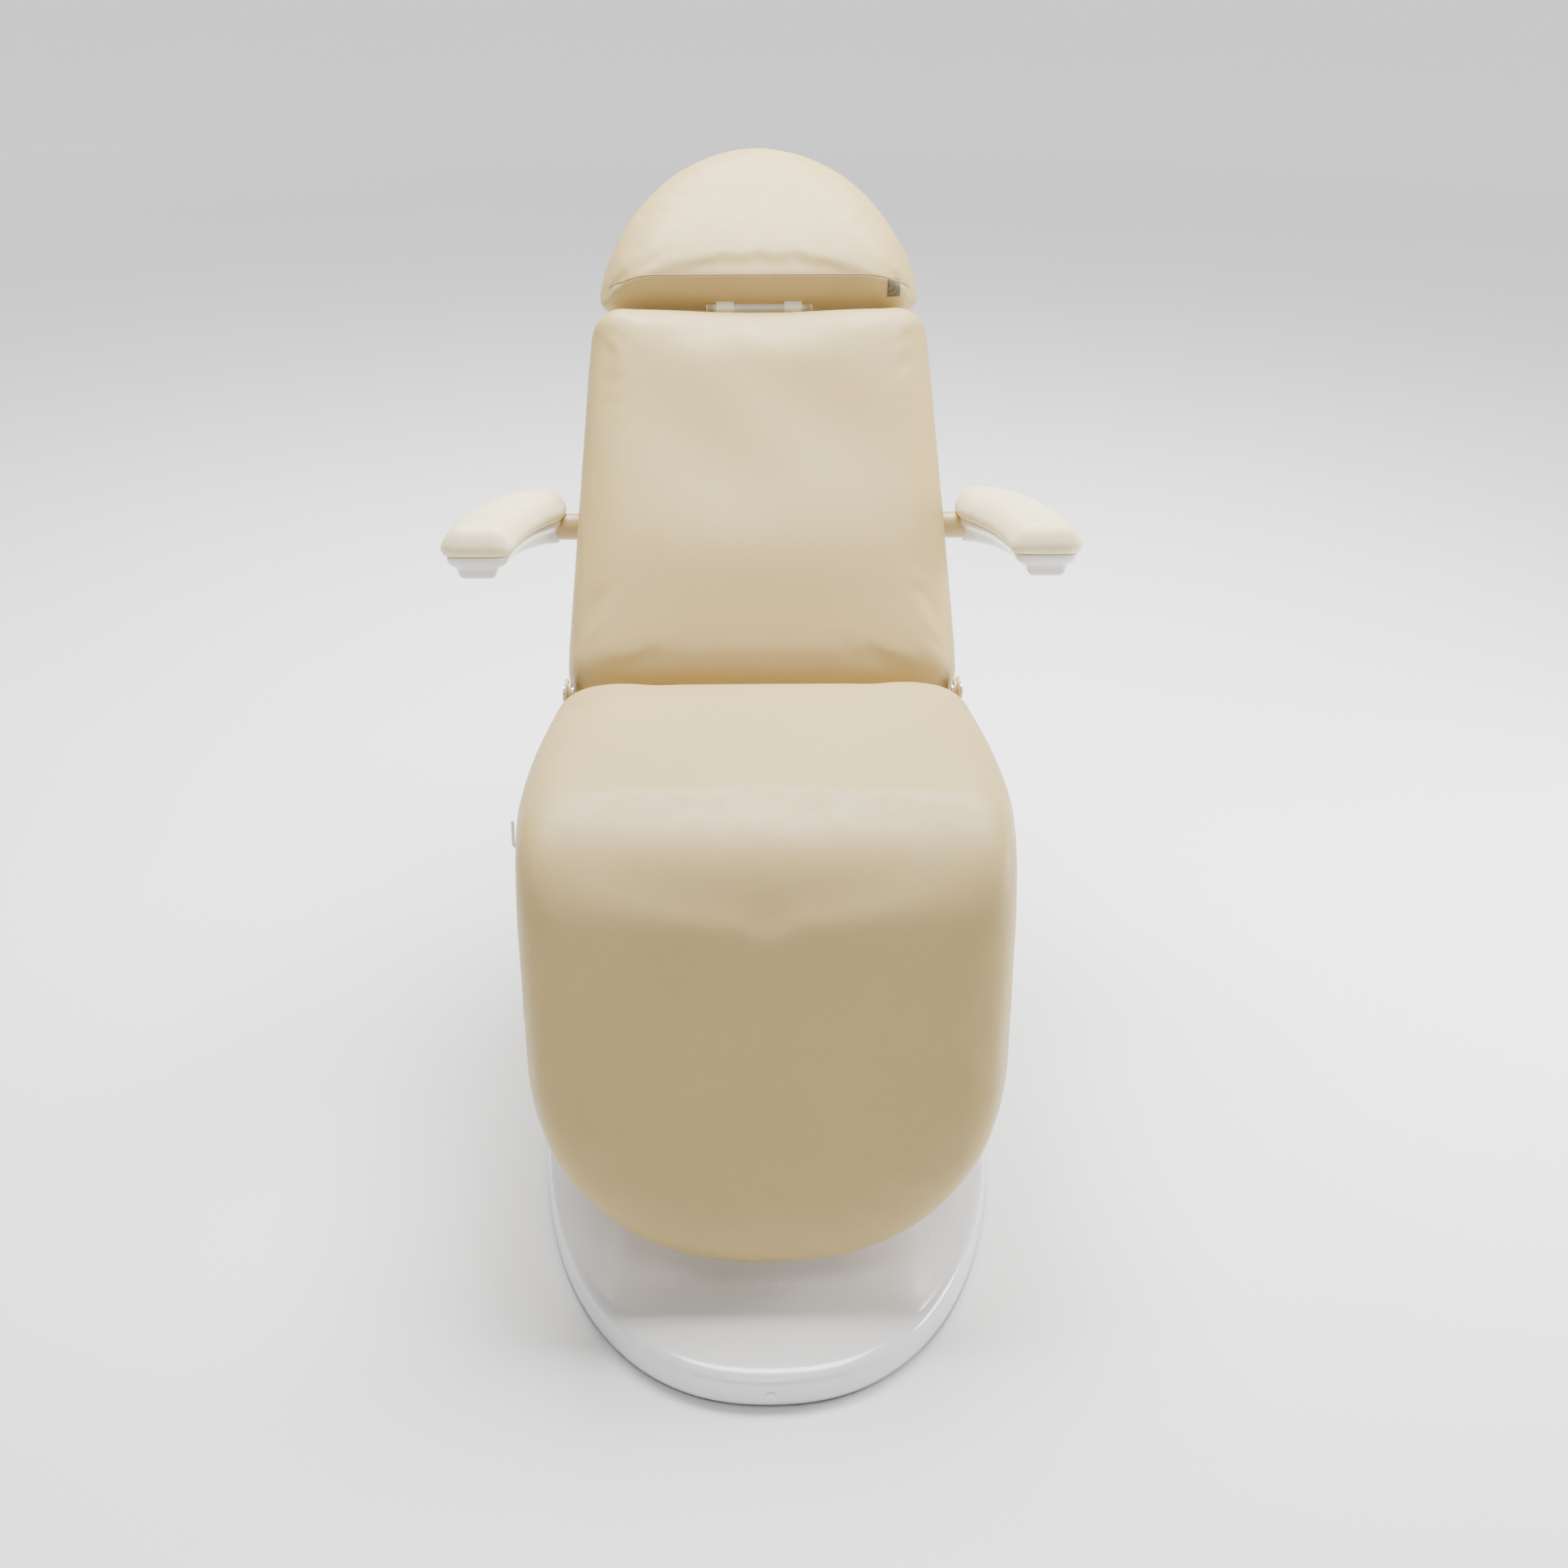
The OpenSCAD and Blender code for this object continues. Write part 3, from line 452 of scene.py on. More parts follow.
def evenly(path, step):
    """Points a fixed distance apart along a closed path."""
    path = np.array(path, float)
    ends = np.vstack([path, path[:1]])
    lengths = np.linalg.norm(np.diff(ends, axis=0), axis=1)
    along = np.concatenate([[0], np.cumsum(lengths)])
    count = max(8, int(along[-1] / step))
    wanted = np.linspace(0, along[-1], count, endpoint=False)
    return np.stack([np.interp(wanted, along, ends[:, k]) for k in range(path.shape[1])], axis=1)


def inward_normals(outline):
    """Unit vectors into an outline that runs anticlockwise."""
    forward = np.roll(outline, -1, axis=0) - np.roll(outline, 1, axis=0)
    forward /= np.linalg.norm(forward, axis=1)[:, None] + 1e-12
    return np.stack([-forward[:, 1], forward[:, 0]], axis=1)


# ---- Outlines of the cushions ----


def corner(d, r):
    """How far a rounded corner of radius r draws an edge in, at distance d from the corner's end."""
    return 0.0 if d >= r else r - math.sqrt(max(0.0, r * r - (r - d) ** 2))


def symmetric(ys, half):
    """Closed outline, anticlockwise, from the half-width at each y, with y rising."""
    right = [(half(y), y) for y in ys]
    return np.array(right + [(-x, y) for x, y in reversed(right)])


def seat_half_width(y):
    share = min(1.0, max(0.0, (-0.022 - y) / 0.365))
    swell = math.sin(math.pi / 2 * share)
    narrowing = 0.007 * max(0.0, (-y - 0.400) / 0.100)
    return 0.270 + 0.032 * swell - corner(-0.022 - y, 0.070) - narrowing


def leg_half_width(y):
    share = min(1.0, max(0.0, -y / 0.200))
    half = 0.295 - 0.014 * share
    if y > -0.200:
        return half
    t = min(1.0, (-0.200 - y) / 0.249)
    return half * (1 - t**2.2) ** (1 / 2.2)


def back_half_width(y):
    share = max(0.0, (y - 0.060) / 0.539)
    return 0.267 - 0.026 * share**1.15 - corner(y - 0.005, 0.035) - corner(0.604 - y, 0.042)


HEAD_HALF = 0.226


def head_half_width(y):
    d = y - 0.005
    t = max(0.0, (d - 0.020) / 0.288)
    return HEAD_HALF * math.sqrt(max(0.0, 1 - t * t)) - corner(d, 0.024)


# The couch's upholstery runs flat over the seat, round the knee and down the leg section
BEND_RADIUS = 0.170
BEND_RUN = (BEND_RADIUS - 0.090) * math.tan(KNEE_TURN / 2)
SEAT_TOP = 0.028
LEG_TOP = 0.090
SEAT_RUN = 0.500 - BEND_RUN - 0.022
BEND_LENGTH = BEND_RADIUS * KNEE_TURN
LEG_RUN = 0.4485 - BEND_RUN
COUCH_LENGTH = SEAT_RUN + BEND_LENGTH + LEG_RUN


def couch_half_width(s):
    """Half-width at distance s along the couch from its rear edge."""
    if s <= SEAT_RUN:
        return seat_half_width(-0.022 - s)
    if s >= SEAT_RUN + BEND_LENGTH:
        return leg_half_width(-BEND_RUN - (s - SEAT_RUN - BEND_LENGTH))
    share = (s - SEAT_RUN) / BEND_LENGTH
    return seat_half_width(-0.022 - SEAT_RUN) * (1 - share) + leg_half_width(-BEND_RUN) * share


def bend_couch(co):
    """Takes points laid out flat (x, -s, height over the couch's surface) to their places on the chair."""
    s = -co[:, 1]
    h = co[:, 2]
    over_knee = np.clip((s - SEAT_RUN) / BEND_LENGTH, 0, 1)
    knee = 1 - np.abs(2 * over_knee - 1)
    h = np.where(h < 0, h * (1 - 0.22 * np.sin(knee * math.pi / 2) ** 2), h)
    seat = np.stack([co[:, 0], -0.022 - s, SEAT_TOP + h], axis=1)
    angle = over_knee * KNEE_TURN
    centre_y = -0.022 - SEAT_RUN
    centre_z = SEAT_TOP - BEND_RADIUS
    radius = BEND_RADIUS + h
    arc = np.stack([co[:, 0], centre_y - radius * np.sin(angle), centre_z + radius * np.cos(angle)], axis=1)
    leg_y = -BEND_RUN - (s - SEAT_RUN - BEND_LENGTH)
    leg = np.stack([co[:, 0], leg_y, LEG_TOP + h], axis=1)
    out = np.where((s > SEAT_RUN)[:, None], move_points(arc, SEAT), move_points(seat, SEAT))
    return np.where((s > SEAT_RUN + BEND_LENGTH)[:, None], move_points(leg, LEG), out)


def corner_steps(r, n=10):
    return [r * (1 - math.cos(math.pi / 2 * i / n)) for i in range(n)]


def couch_outline():
    steps = corner_steps(0.070) + list(np.linspace(0.070, COUCH_LENGTH - 0.249, 30))
    steps += [COUCH_LENGTH - 0.249 + 0.249 * math.sin(a) for a in np.linspace(0.05, math.pi / 2, 26)]
    return symmetric([-s for s in reversed(steps)], lambda y: max(0.0, couch_half_width(-y)))


def back_outline():
    ys = [0.005 + d for d in corner_steps(0.035)] + list(np.linspace(0.040, 0.562, 20))
    ys += [0.604 - d for d in reversed(corner_steps(0.042))]
    return symmetric(ys, back_half_width)


def head_outline():
    ys = [0.005 + d for d in corner_steps(0.024)]
    ys += [0.025 + 0.288 * math.sin(a) for a in np.linspace(0.02, math.pi / 2, 30)]
    return symmetric(ys, head_half_width)


# ---- Cushions ----


def edge_distance(co, outline):
    """For each point, its distance in plan to the outline and the direction into the cushion there."""
    normals = inward_normals(outline)
    tree = KDTree(len(outline))
    for i, p in enumerate(outline):
        tree.insert((p[0], p[1], 0), i)
    tree.balance()
    found = [tree.find((p[0], p[1], 0)) for p in co]
    index = np.array([f[1] for f in found])
    return np.array([f[2] for f in found]), normals[index]


def slab(name, outline, low, high, voxel):
    """A flat-topped closed solid of the outline, as an even mesh."""
    rings = [[(p[0], p[1], z) for p in outline] for z in (low, high)]
    return remesh(loft(name, rings), voxel)


def bell(value, middle, spread):
    return np.exp(-(((value - middle) / spread) ** 2))


def cushion(
    name,
    outline,
    *,
    low,
    high,
    crown,
    reach,
    edge,
    fall,
    voxel,
    swell=0.0045,
    soft=None,
    shape=None,
    share=None,
):
    """A stuffed form between the heights low and high, over an outline.

    Its top is crowned by `crown` over `reach` in from the outline, and falls by `fall` over the last `edge` before
    the soft part of the outline. Its sides bulge by `swell`. `shape` adds a height of its own to the top, from x
    and y, and `share` gives the part of `fall` that applies at each x.
    """
    outline = evenly(outline, 0.004)
    piece = slab(name, outline, low, high, 0.005)
    co = points_of(piece)
    distance, inward = edge_distance(co, outline)
    from_soft = edge_distance(co, outline[soft(outline)])[0] if soft else distance
    thickness = high - low + crown * (1 - (1 - np.clip(distance / reach, 0, 1)) ** 2)
    fall_here = fall * share(co[:, 0]) if share else fall
    thickness -= fall_here * (1 - np.sqrt(1 - (1 - np.clip(from_soft / edge, 0, 1)) ** 2))
    if shape:
        thickness += shape(co[:, 0], co[:, 1])
    height = np.clip((co[:, 2] - low) / (high - low), 0, 1)
    co[:, 2] = low + height * thickness
    near = np.clip(1 - distance / 0.040, 0, 1)
    swell_here = 0.001 + (swell - 0.001) * np.clip(1 - from_soft / 0.060, 0, 1)
    co[:, :2] -= inward * (near * (swell_here * np.sin(np.pi * height) + 0.001))[:, None]
    set_points(piece, co)
    return remesh(piece, voxel), outline


def inflate(piece, held, pressure, cap, frames=20):
    """Stuffs a cushion: cloth pressure swells the free part of its skin, by no more than about `cap`."""
    start = points_of(piece)
    group = piece.vertex_groups.new(name="held")
    for i in np.nonzero(held)[0]:
        group.add([int(i)], 1.0, "REPLACE")
    cloth = piece.modifiers.new("Cloth", "CLOTH")
    settings = cloth.settings
    settings.use_pressure = True
    settings.uniform_pressure_force = pressure
    settings.effector_weights.gravity = 0
    settings.vertex_group_mass = "held"
    settings.quality = 5
    settings.tension_stiffness = 25
    settings.compression_stiffness = 25
    settings.bending_stiffness = 3
    cloth.collision_settings.use_collision = False
    cloth.point_cache.frame_start = 1
    cloth.point_cache.frame_end = frames
    for number in range(1, frames + 1):
        bpy.context.scene.frame_set(number)
    graph = bpy.context.evaluated_depsgraph_get()
    swollen = bpy.data.meshes.new_from_object(piece.evaluated_get(graph))
    piece.modifiers.clear()
    co = np.zeros(len(swollen.vertices) * 3)
    swollen.vertices.foreach_get("co", co)
    bpy.data.meshes.remove(swollen)
    bpy.context.scene.frame_set(1)
    moved = co.reshape(-1, 3) - start
    length = np.linalg.norm(moved, axis=1)[:, None] + 1e-9
    set_points(piece, start + moved * (cap * np.tanh(length / cap) / length))
    piece.vertex_groups.clear()
    return piece


def hand_over(piece, body, nodes, slot="vinyl_seat"):
    finish_with(piece, slot)
    if body:
        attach(piece, body)
    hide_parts(*nodes)
    return piece


def make_couch():
    """Seat and leg section in one run of vinyl: formed flat, then bent over the knee and blended across its joint."""
    piece, outline = cushion(
        "couch_upholstery",
        couch_outline(),
        low=-0.074,
        high=0.001,
        crown=0.006,
        reach=0.100,
        edge=0.030,
        fall=0.021,
        voxel=0.0062,
        swell=0.0065,
    )
    flat = points_of(piece)
    held = flat[:, 2] < -0.064
    set_points(piece, bend_couch(flat))
    inflate(piece, held, 3.0, 0.005)
    relax(piece, 16)
    subdivide(piece)
    hand_over(piece, None, ["seat_cushion", "leg_cushion", "knee_bolster"])
    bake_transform(piece)
    rim = inset_path(outline, 0.002)
    path = bend_couch(np.column_stack([rim, np.full(len(rim), -0.0735)]))
    piping = tube("couch_piping", path, 0.0030, closed=True)
    finish_with(piping, "vinyl_seat", "piping")
    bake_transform(piping)


def inset_path(outline, inset):
    return outline + inward_normals(outline) * inset


def flat_path(outline, inset, z, matrix):
    rim = inset_path(outline, inset)
    return move_points(np.column_stack([rim, np.full(len(rim), z)]), matrix)


def back_contour(x, y):
    """Relief of the backrest: a lumbar swell, a hollow over it, and a dip where the headrest's bars are."""
    across_middle = np.clip(1 - (x / 0.25) ** 2, 0, 1)
    lumbar = 0.008 * bell(y, 0.20, 0.09) * across_middle
    hollow = 0.005 * bell(y, 0.40, 0.10) * across_middle
    dip = 0.014 * bell(y, 0.612, 0.050) * bell(x, 0.0, 0.125)
    folds = 0.0018 * np.sin(21 * y + 6 * x + 4 * np.sin(5 * x)) * bell(y, 0.42, 0.13) * across_middle
    dents = 0.004 * (bell(x, -0.085, 0.04) + bell(x, 0.05, 0.05)) * bell(y, 0.555, 0.03)
    return lumbar - hollow - dip + folds - dents


def make_backrest():
    piece, outline = cushion(
        "backrest_upholstery",
        back_outline(),
        low=-0.047,
        high=0.027,
        crown=0.005,
        reach=0.120,
        edge=0.028,
        fall=0.019,
        voxel=0.006,
        swell=0.0065,
        shape=back_contour,
    )
    held = points_of(piece)[:, 2] < -0.038
    placed(piece, BACK)
    inflate(piece, held, 4.0, 0.006)
    relax(piece, 6)
    subdivide(piece)
    hand_over(piece, "backrest", ["backrest_cushion"])
    piping = tube("backrest_piping", flat_path(outline, 0.001, -0.0455, BACK), 0.0028, closed=True)
    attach(finish_with(piping, "vinyl_seat", "piping"), "backrest")


HEAD_EDGE = 0.075
HEAD_FALL = 0.058
HEAD_FRONT = 0.014


def make_headrest():
    """Loaf with a flat front wall, whose top rolls down over the curved sides, and less so over its far end."""

    def round_side(outline):
        return outline[:, 1] > HEAD_FRONT

    def side_share(x):
        return 0.42 + 0.58 * np.clip(np.abs(x) / 0.190, 0, 1) ** 1.6

    piece, outline = cushion(
        "headrest_upholstery",
        head_outline(),
        low=-0.023,
        high=0.058,
        crown=0.012,
        reach=0.120,
        edge=HEAD_EDGE,
        fall=HEAD_FALL,
        voxel=0.005,
        swell=0.010,
        soft=round_side,
        share=side_share,
    )
    held = points_of(piece)[:, 2] < -0.014
    placed(piece, HEAD)
    inflate(piece, held, 3.0, 0.004)
    relax(piece, 4)
    subdivide(piece)
    hand_over(piece, "headrest", ["headrest_cushion"])
    # Thin tube along the front seam, coloured as painted shadow: the dark line where the top panel meets the front
    # wall
    seam = tube("headrest_seam_shadow_line", headrest_seam_path(), 0.0013)
    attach(finish_with(seam, "vinyl_seat", "seam"), "headrest")
    piping = tube("headrest_piping", flat_path(outline, 0.001, -0.0215, HEAD), 0.0026, closed=True)
    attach(finish_with(piping, "vinyl_seat", "piping"), "headrest")
    return piece


def head_seam_height(x):
    """Height of the headrest's front seam: level across the middle, falling to each corner."""
    from_side = np.clip((HEAD_HALF - abs(x)) / HEAD_EDGE, 0, 1)
    return 0.0610 - HEAD_FALL * (1 - math.sqrt(1 - (1 - from_side) ** 2))


def headrest_seam_path():
    half = head_half_width(0.012)
    path = []
    for x in np.linspace(-half, half, 61):
        y = 0.0035 + 0.6 * max(0.0, abs(x) - 0.200)
        path.append((x, y, head_seam_height(x)))
    return move_points(np.array(path), HEAD)


# ---- Armrests ----


def arm_point(angle, sideways):
    """Point of the armrest's curve in its own frame, moved sideways across it."""
    tx = 0.098 * math.cos(angle)
    ty = -0.295 * math.sin(angle)
    length = math.hypot(tx, ty)
    return (
        0.285 + 0.098 * math.sin(angle) - sideways * ty / length,
        0.010 - 0.295 * (1 - math.cos(angle)) + sideways * tx / length,
    )


def arm_half(angle, inset):
    return 0.047 - inset - 0.022 * max(0.0, 1 - math.degrees(angle) / 30) ** 2


def arm_outline(inset):
    angles = [math.radians(a) for a in np.linspace(0, 90, 31)]
    outer = [arm_point(a, arm_half(a, inset)) for a in angles]
    inner = [arm_point(a, -arm_half(a, inset)) for a in reversed(angles)]
    outline = np.array(outer + inner)
    area = np.sum(outline[:, 0] * np.roll(outline[:, 1], -1) - outline[:, 1] * np.roll(outline[:, 0], -1))
    return outline if area > 0 else outline[::-1]


def rounded(outline, rounds=40):
    """The outline with its corners softened."""
    path = evenly(outline, 0.003)
    for _ in range(rounds):
        path = path * 0.5 + (np.roll(path, 1, axis=0) + np.roll(path, -1, axis=0)) * 0.25
    return path


def make_arm_pads():
    outline = rounded(arm_outline(0.002))
    pad, outline = cushion(
        "armrest_pad_skin",
        outline,
        low=0.014,
        high=0.050,
        crown=0.006,
        reach=0.045,
        edge=0.026,
        fall=0.022,
        voxel=0.004,
    )
    held = points_of(pad)[:, 2] < 0.018
    inflate(pad, held, 4.0, 0.006)
    relax(pad, 4)
    subdivide(pad)
    for side, turn in (("right", ARM), ("left", MIRROR @ ARM)):
        piece = bpy.data.objects.new(f"armrest_pad_{side}_upholstery", pad.data.copy())
        bpy.context.scene.collection.objects.link(piece)
        placed(piece, turn)
        if side == "left":
            piece.data.flip_normals()
        hand_over(piece, f"armrest_{side}", [f"armrest_pad_{side}"], "vinyl_armrest")
    bpy.data.objects.remove(pad)


def joined(name, parts):
    """Several closed meshes as one."""
    bm = bmesh.new()
    for part in parts:
        bm.from_mesh(part.data)
        bpy.data.objects.remove(part)
    mesh = bpy.data.meshes.new(name)
    bm.to_mesh(mesh)
    bm.free()
    piece = bpy.data.objects.new(name, mesh)
    bpy.context.scene.collection.objects.link(piece)
    return piece


def arm_keel():
    """The moulded rib under the armrest, from its hub to its front end."""
    rings = []
    for a in np.linspace(6, 88, 24):
        angle = math.radians(a)
        share = (a - 6) / 82
        half = 0.016 + 0.009 * share
        low = -0.024 + 0.007 * share
        middle = 0.004 * (1 - share)
        section = [(-half - 0.005, 0.006), (-half, low + 0.004), (-half + 0.005, low)]
        section += [(half - 0.005, low), (half, low + 0.004), (half + 0.005, 0.006)]
        rings.append([(*arm_point(angle, s - middle), z) for s, z in section])
    return loft("keel", rings)


def make_arm_shells():
    outline = evenly(rounded(arm_outline(0.004)), 0.004)
    levels = [(0.010, -0.0005), (0.004, 0.0015), (0.0015, 0.006), (0.0, 0.014)]
    tray = loft("tray", [[(*p, z) for p in inset_path(outline, i)] for i, z in levels])
    path = [(x, 0.0, 0.0) for x in (0.301, 0.310, 0.320, 0.331)]
    hub = tube("hub", path, 0.0255, sides=40)
    shell = remesh(joined("arm_shell", [tray, arm_keel(), hub]), 0.0026)
    relax(shell, 8)
    for side, turn in (("right", ARM), ("left", MIRROR @ ARM)):
        piece = bpy.data.objects.new(f"armrest_{side}_moulding", shell.data.copy())
        bpy.context.scene.collection.objects.link(piece)
        placed(piece, turn)
        if side == "left":
            piece.data.flip_normals()
        finish_with(piece, "hood_white")
        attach(piece, f"armrest_{side}")
        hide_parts(f"armrest_shell_{side}")
    bpy.data.objects.remove(shell)


# ---- Base hood ----

HOOD_Y = 0.6415 - 0.819275
HOOD_HALF = 0.292
COLUMN_Y = -0.090


def superellipse_point(angle, half_x, half_y, power=2.3):
    c, d = math.cos(angle), math.sin(angle)
    return (
        half_x * math.copysign(abs(c) ** (2 / power), c),
        half_y * math.copysign(abs(d) ** (2 / power), d),
    )


def round_rect_point(angle, half_x, half_y, r):
    """Point of a rounded rectangle's outline in the given direction."""
    c, d = math.cos(angle), math.sin(angle)
    low, high = 0.0, 1.0
    for _ in range(30):
        k = (low + high) / 2
        x, y = abs(k * c), abs(k * d)
        over = math.hypot(max(0, x - half_x + r), max(0, y - half_y + r)) - r
        inside = over < 0 and x <= half_x and y <= half_y
        low, high = (k, high) if inside else (low, k)
    return (low * c, low * d)


def make_hood():
    """Vacuum-formed hood: an upright lip, a rounded shoulder, a domed top and a collar round the column."""
    count = 180
    angles = [2 * math.pi * i / count for i in range(count)]
    outer = [superellipse_point(a, HOOD_HALF, 0.640) for a in angles]
    collar = [round_rect_point(a, 0.139, 0.124, 0.040) for a in angles]
    rings = []

    def ring(share, z, inset=0.0):
        """A ring between the hood's outline (share 0) and its collar (share 1)."""
        scale = 1 - inset / HOOD_HALF
        rings.append(
            [
                (
                    o[0] * scale * (1 - share) + c[0] * share,
                    (HOOD_Y + o[1] * scale) * (1 - share) + (COLUMN_Y + c[1]) * share,
                    z,
                )
                for o, c in zip(outer, collar)
            ]
        )

    for z in (0.006, 0.010, 0.020, 0.030):
        ring(0, z)
    shoulder = 0.012
    for a in np.linspace(0, math.pi / 2, 7):
        ring(0, 0.044 - shoulder * (1 - math.sin(a)), shoulder * (1 - math.cos(a)))
    for share in np.linspace(0.06, 0.94, 18):
        dome = 0.022 * (1 - (1 - share) ** 2)
        ring(share, 0.044 + dome, shoulder * (1 - share))
    for share, z in ((0.975, 0.0675), (0.992, 0.071), (1.0, 0.078), (1.0, 0.092), (1.0, 0.100)):
        ring(share, z)
    for share, z in ((1.004, 0.1034), (1.014, 0.1034), (1.018, 0.100), (1.018, 0.07)):
        ring(share, z)
    piece = loft("base_hood_moulding", rings, capped=False)
    thick = piece.modifiers.new("Wall", "SOLIDIFY")
    thick.thickness = 0.003
    thick.offset = -1
    bake(piece)
    make_inlet_hole(piece)
    finish_with(piece, "hood_white")
    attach(piece, "base")
    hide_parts("base_hood")


def make_inlet_hole(piece):
    """Opens the hood's rear edge round the mains inlet and its rocker."""
    low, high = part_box("power_inlet")
    gap = 0.0005
    opening = block((low[0] - gap, low[1] - 0.004, low[2] - gap), (high[0] + gap, 1.0, high[2] + gap))
    cut(piece, opening)


# ---- Backrest shell, hook and tag ----

SHELL_RIM = -0.0474
SHELL_DEPTH = 0.062
BACK_MIDDLE = 0.3045
BACK_LENGTH = 0.599


def make_back_shell():
    """Moulded bowl behind the backrest, open for the armrest tubes, hinges, lever and headrest brackets."""
    outline = back_outline()
    rings = []
    for a in np.linspace(0, math.pi / 2, 19):
        inset = 0.006 + 0.034 * (1 - math.cos(a))
        share = 1 - (inset + 0.006) / (BACK_LENGTH / 2)
        z = SHELL_RIM - SHELL_DEPTH * math.sin(a)
        rings.append([(x - math.copysign(inset, x), BACK_MIDDLE + (y - BACK_MIDDLE) * share, z) for x, y in outline])
    piece = loft("backrest_rear_shell", rings)
    bm = bmesh.new()
    bm.from_mesh(piece.data)
    top = max(bm.faces, key=lambda face: face.calc_center_median().z)
    bmesh.ops.delete(bm, geom=[top], context="FACES_ONLY")
    bm.to_mesh(piece.data)
    bm.free()
    wall = piece.modifiers.new("Wall", "SOLIDIFY")
    wall.thickness = 0.004
    wall.offset = -1
    bake(piece)
    tunnel = tube("tunnel", [(x, 0.290, -0.075) for x in (-0.4, 0.0, 0.4)], 0.0255, sides=48)
    openings = [tunnel, block((0.040, -0.040, -0.140), (0.080, 0.062, -0.050))]
    for side in (-1, 1):
        for near, far, start, end in ((0.180, 0.280, -0.040, 0.062), (0.062, 0.082, 0.560, 0.700)):
            x = sorted((side * near, side * far))
            openings.append(block((x[0], start, -0.140), (x[1], end, 0.0)))
    for opening in openings:
        cut(piece, opening)
    placed(piece, BACK)
    finish_with(piece, "beige_shell")
    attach(piece, "backrest")
    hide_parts("backrest_shell")


def make_hook():
    """Bent wire for the hand control, at the seat's left side, and the tab that holds it to the frame."""
    root = -seat_half_width(-0.392)
    y, z, bend = -0.392, -0.061, 0.005
    path = [(root + 0.040 - 0.004 * i, y, z) for i in range(13)]
    corner_x = root - 0.012 + bend
    path = [p for p in path if p[0] > corner_x]
    for a in np.linspace(0, math.pi / 2, 8):
        path.append((corner_x - bend * math.sin(a), y, z + bend * (1 - math.cos(a))))
    path += [(root - 0.012, y, z + bend + 0.004 * i) for i in range(1, 8)]
    tip = path[-1]
    for rise in (0.0012, 0.0018, 0.0020):
        path.append((tip[0], tip[1], tip[2] + rise))
    wire = tube("handset_hook_wire", path, 0.002, sides=20)
    tab = block((root + 0.020, y - 0.010, z - 0.002), (root + 0.040, y + 0.010, z + 0.002))
    bevel = tab.modifiers.new("Bevel", "BEVEL")
    bevel.width = 0.0012
    bevel.segments = 3
    bake(tab)
    piece = placed(joined("handset_hook_bent", [wire, tab]), SEAT)
    finish_with(piece, "white_wire")
    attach(piece, "seat")
    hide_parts("handset_hook")


def make_tag(cushion_piece):
    """Blank woven patch that lies on the headrest's front wall, under the seam at its right corner."""
    skin = BVHTree.FromPolygons(
        [v.co for v in cushion_piece.data.vertices], [tuple(p.vertices) for p in cushion_piece.data.polygons]
    )
    inwards = (HEAD.to_3x3() @ Vector((0, 1, 0))).normalized()
    count = 13
    points = []
    for i in range(count):
        x = 0.188 + 0.019 * i / (count - 1)
        top = head_seam_height(x) - 0.005
        for j in range(count):
            z = 0.022 + (top - 0.022) * j / (count - 1)
            hit = skin.ray_cast(HEAD @ Vector((x, -0.080, z)), inwards)[0]
            points.append(hit - inwards * 0.0004)
    faces = [
        (i * count + j, i * count + j + 1, (i + 1) * count + j + 1, (i + 1) * count + j)
        for i in range(count - 1)
        for j in range(count - 1)
    ]
    piece = recalculate(piece_from("headrest_woven_tag", points, faces))
    ply = piece.modifiers.new("Ply", "SOLIDIFY")
    ply.thickness = 0.0012
    ply.offset = 0
    bake(piece)
    finish_with(piece, "tag_cloth")
    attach(piece, "headrest")
    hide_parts("headrest_tag")


# ---- Studio ----


def make_stage():
    size = 30.0
    corners = [(-size, -size, 0), (size, -size, 0), (size, size, 0), (-size, size, 0)]
    floor = piece_from("studio_floor", corners, [(0, 1, 2, 3)])
    s = Shader("studio_floor_paint")
    distance = s.add("ShaderNodeVectorMath", operation="LENGTH")
    s.link(s.place, distance.inputs[0])
    glow = s.ranged(distance.outputs["Value"], 0.0, 0.75, 1.6, 7.0)
    tone = s.mixed(s.ranged(s.noise(1.5), 0.0, 1.0), (0.93, 0.93, 0.93), (0.95, 0.95, 0.95))
    floor.data.materials.append(s.set(
        Base_Color=tone,
        Roughness=0.9,
        Specular_IOR_Level=0.1,
        Emission_Color=(1.0, 1.0, 1.0),
        Emission_Strength=glow,
    ))


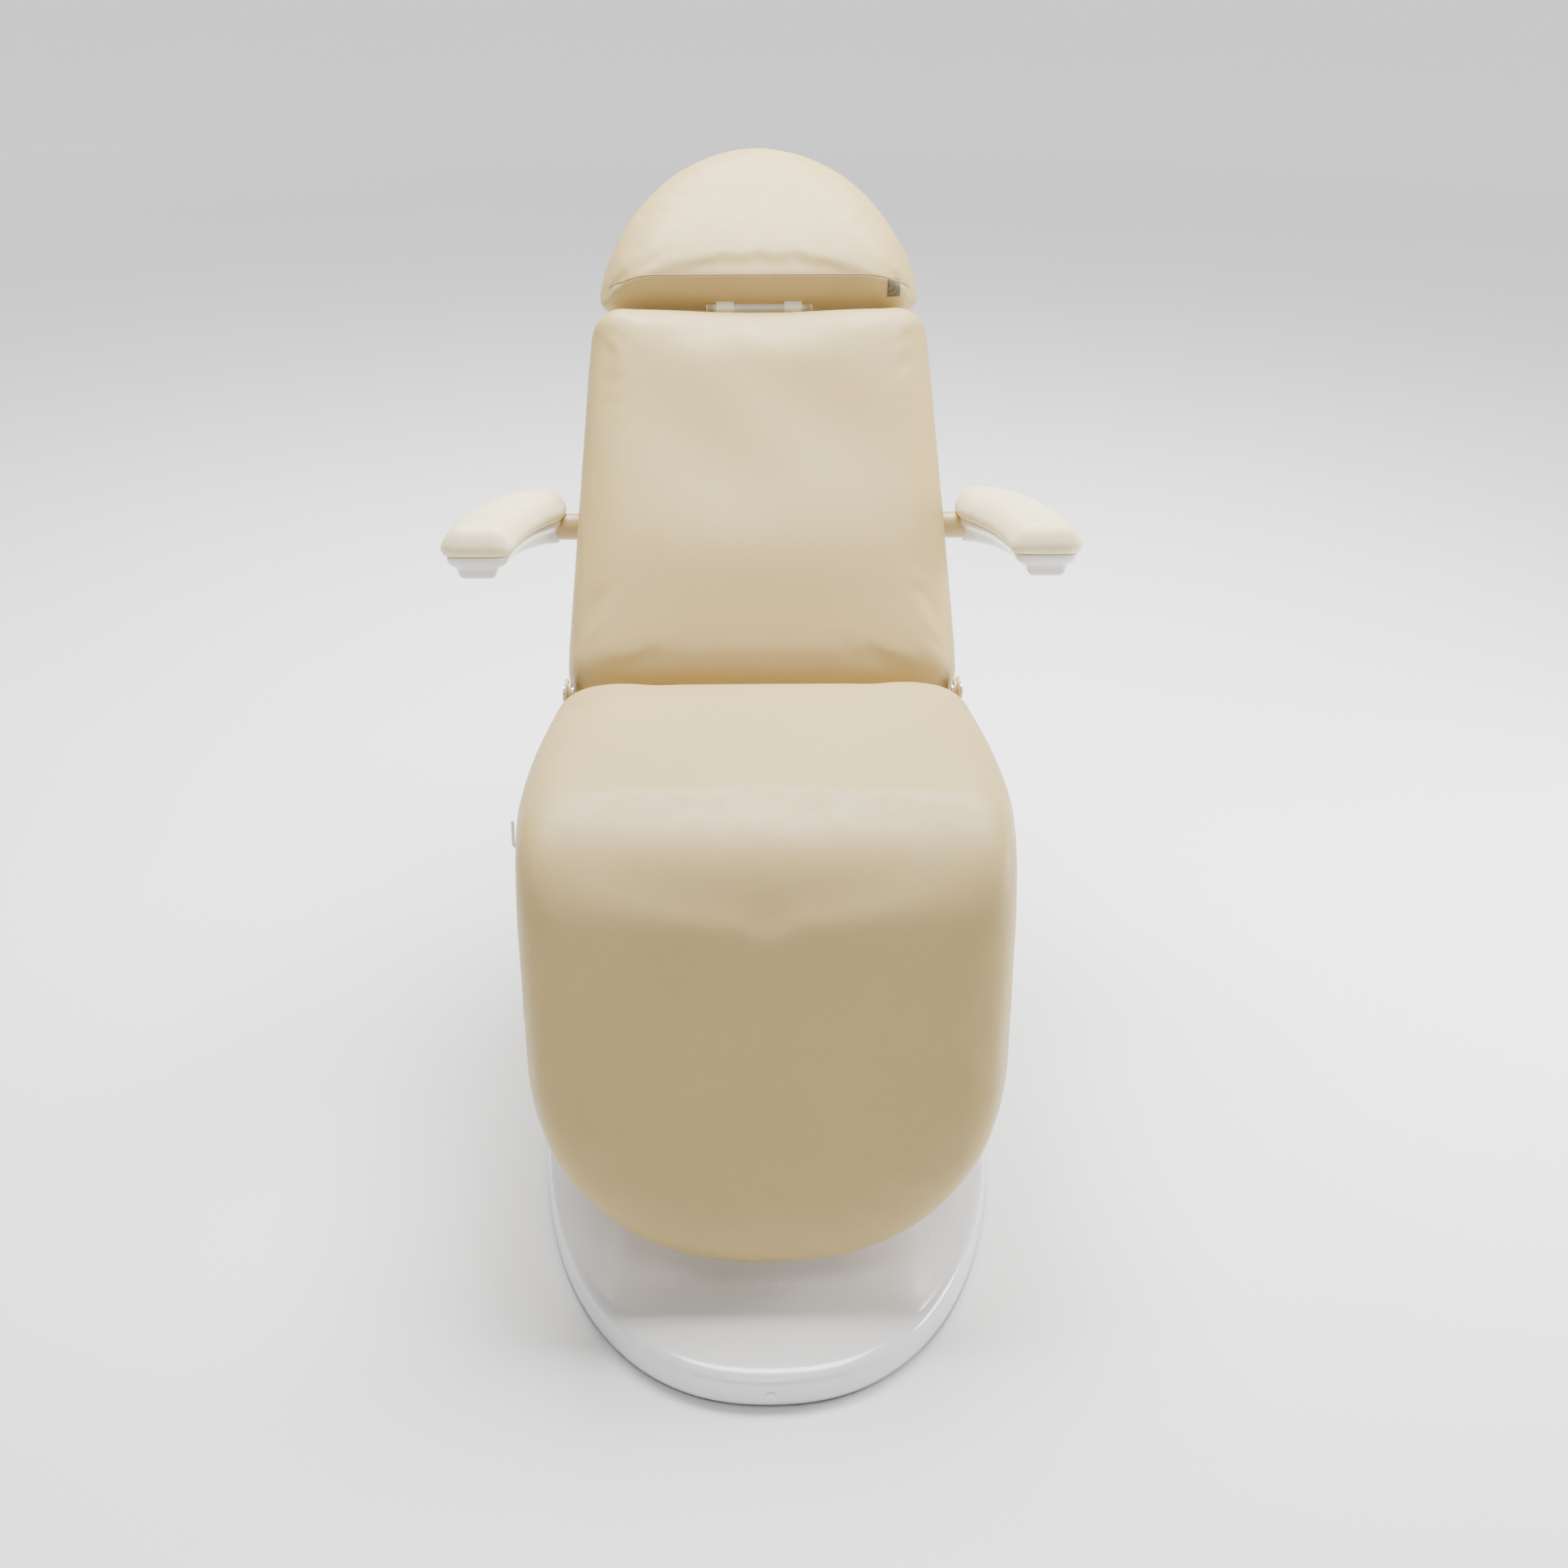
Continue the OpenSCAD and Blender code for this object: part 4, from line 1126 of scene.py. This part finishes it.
def area_light(name, location, target, size, power, colour=(1, 1, 1)):
    data = bpy.data.lights.new(name, "AREA")
    data.shape = "RECTANGLE"
    data.size, data.size_y = size
    data.energy = power
    data.color = colour
    light = bpy.data.objects.new(name, data)
    light.location = location
    light.rotation_euler = (Vector(target) - Vector(location)).to_track_quat("-Z", "Y").to_euler()
    bpy.context.scene.collection.objects.link(light)


def make_lights():
    world = bpy.data.worlds.new("studio")
    bpy.context.scene.world = world
    world.use_nodes = True
    sky = world.node_tree.nodes["Background"]
    sky.inputs["Color"].default_value = (1.0, 1.0, 1.0, 1.0)
    nodes = world.node_tree.nodes
    links = world.node_tree.links
    split = nodes.new("ShaderNodeSeparateXYZ")
    links.new(nodes.new("ShaderNodeTexCoord").outputs["Generated"], split.inputs[0])
    band = nodes.new("ShaderNodeMapRange")
    for key, value in (("From Min", 0.02), ("From Max", 0.30), ("To Min", 1.15), ("To Max", 0.36)):
        band.inputs[key].default_value = value
    links.new(split.outputs["Z"], band.inputs["Value"])
    links.new(band.outputs["Result"], sky.inputs["Strength"])
    area_light("overhead_softbox", (0.15, 1.15, 3.1), (0, 0.1, 0.4), (2.4, 2.2), 390)
    area_light("right_softbox", (2.2, 0.2, 0.9), (0.2, -0.4, 0.05), (1.0, 0.6), 45)
    area_light("front_high_softbox", (-0.3, -2.6, 3.0), (0, -0.5, 0.45), (1.6, 1.2), 28)


def make_camera():
    data = bpy.data.cameras.new("camera")
    data.lens = 58.7
    data.sensor_width = 36.0
    camera = bpy.data.objects.new("camera", data)
    place = Vector((-0.023, -3.172, 1.888))
    target = Vector((0.028, 0.0, 0.409))
    camera.location = place
    camera.rotation_euler = (target - place).to_track_quat("-Z", "Y").to_euler()
    bpy.context.scene.collection.objects.link(camera)
    bpy.context.scene.camera = camera


make_camera()
dress_cad()
make_couch()
make_backrest()
headrest_skin = make_headrest()
make_arm_pads()
make_arm_shells()
make_hood()
make_back_shell()
make_hook()
make_tag(headrest_skin)
make_stage()
make_lights()
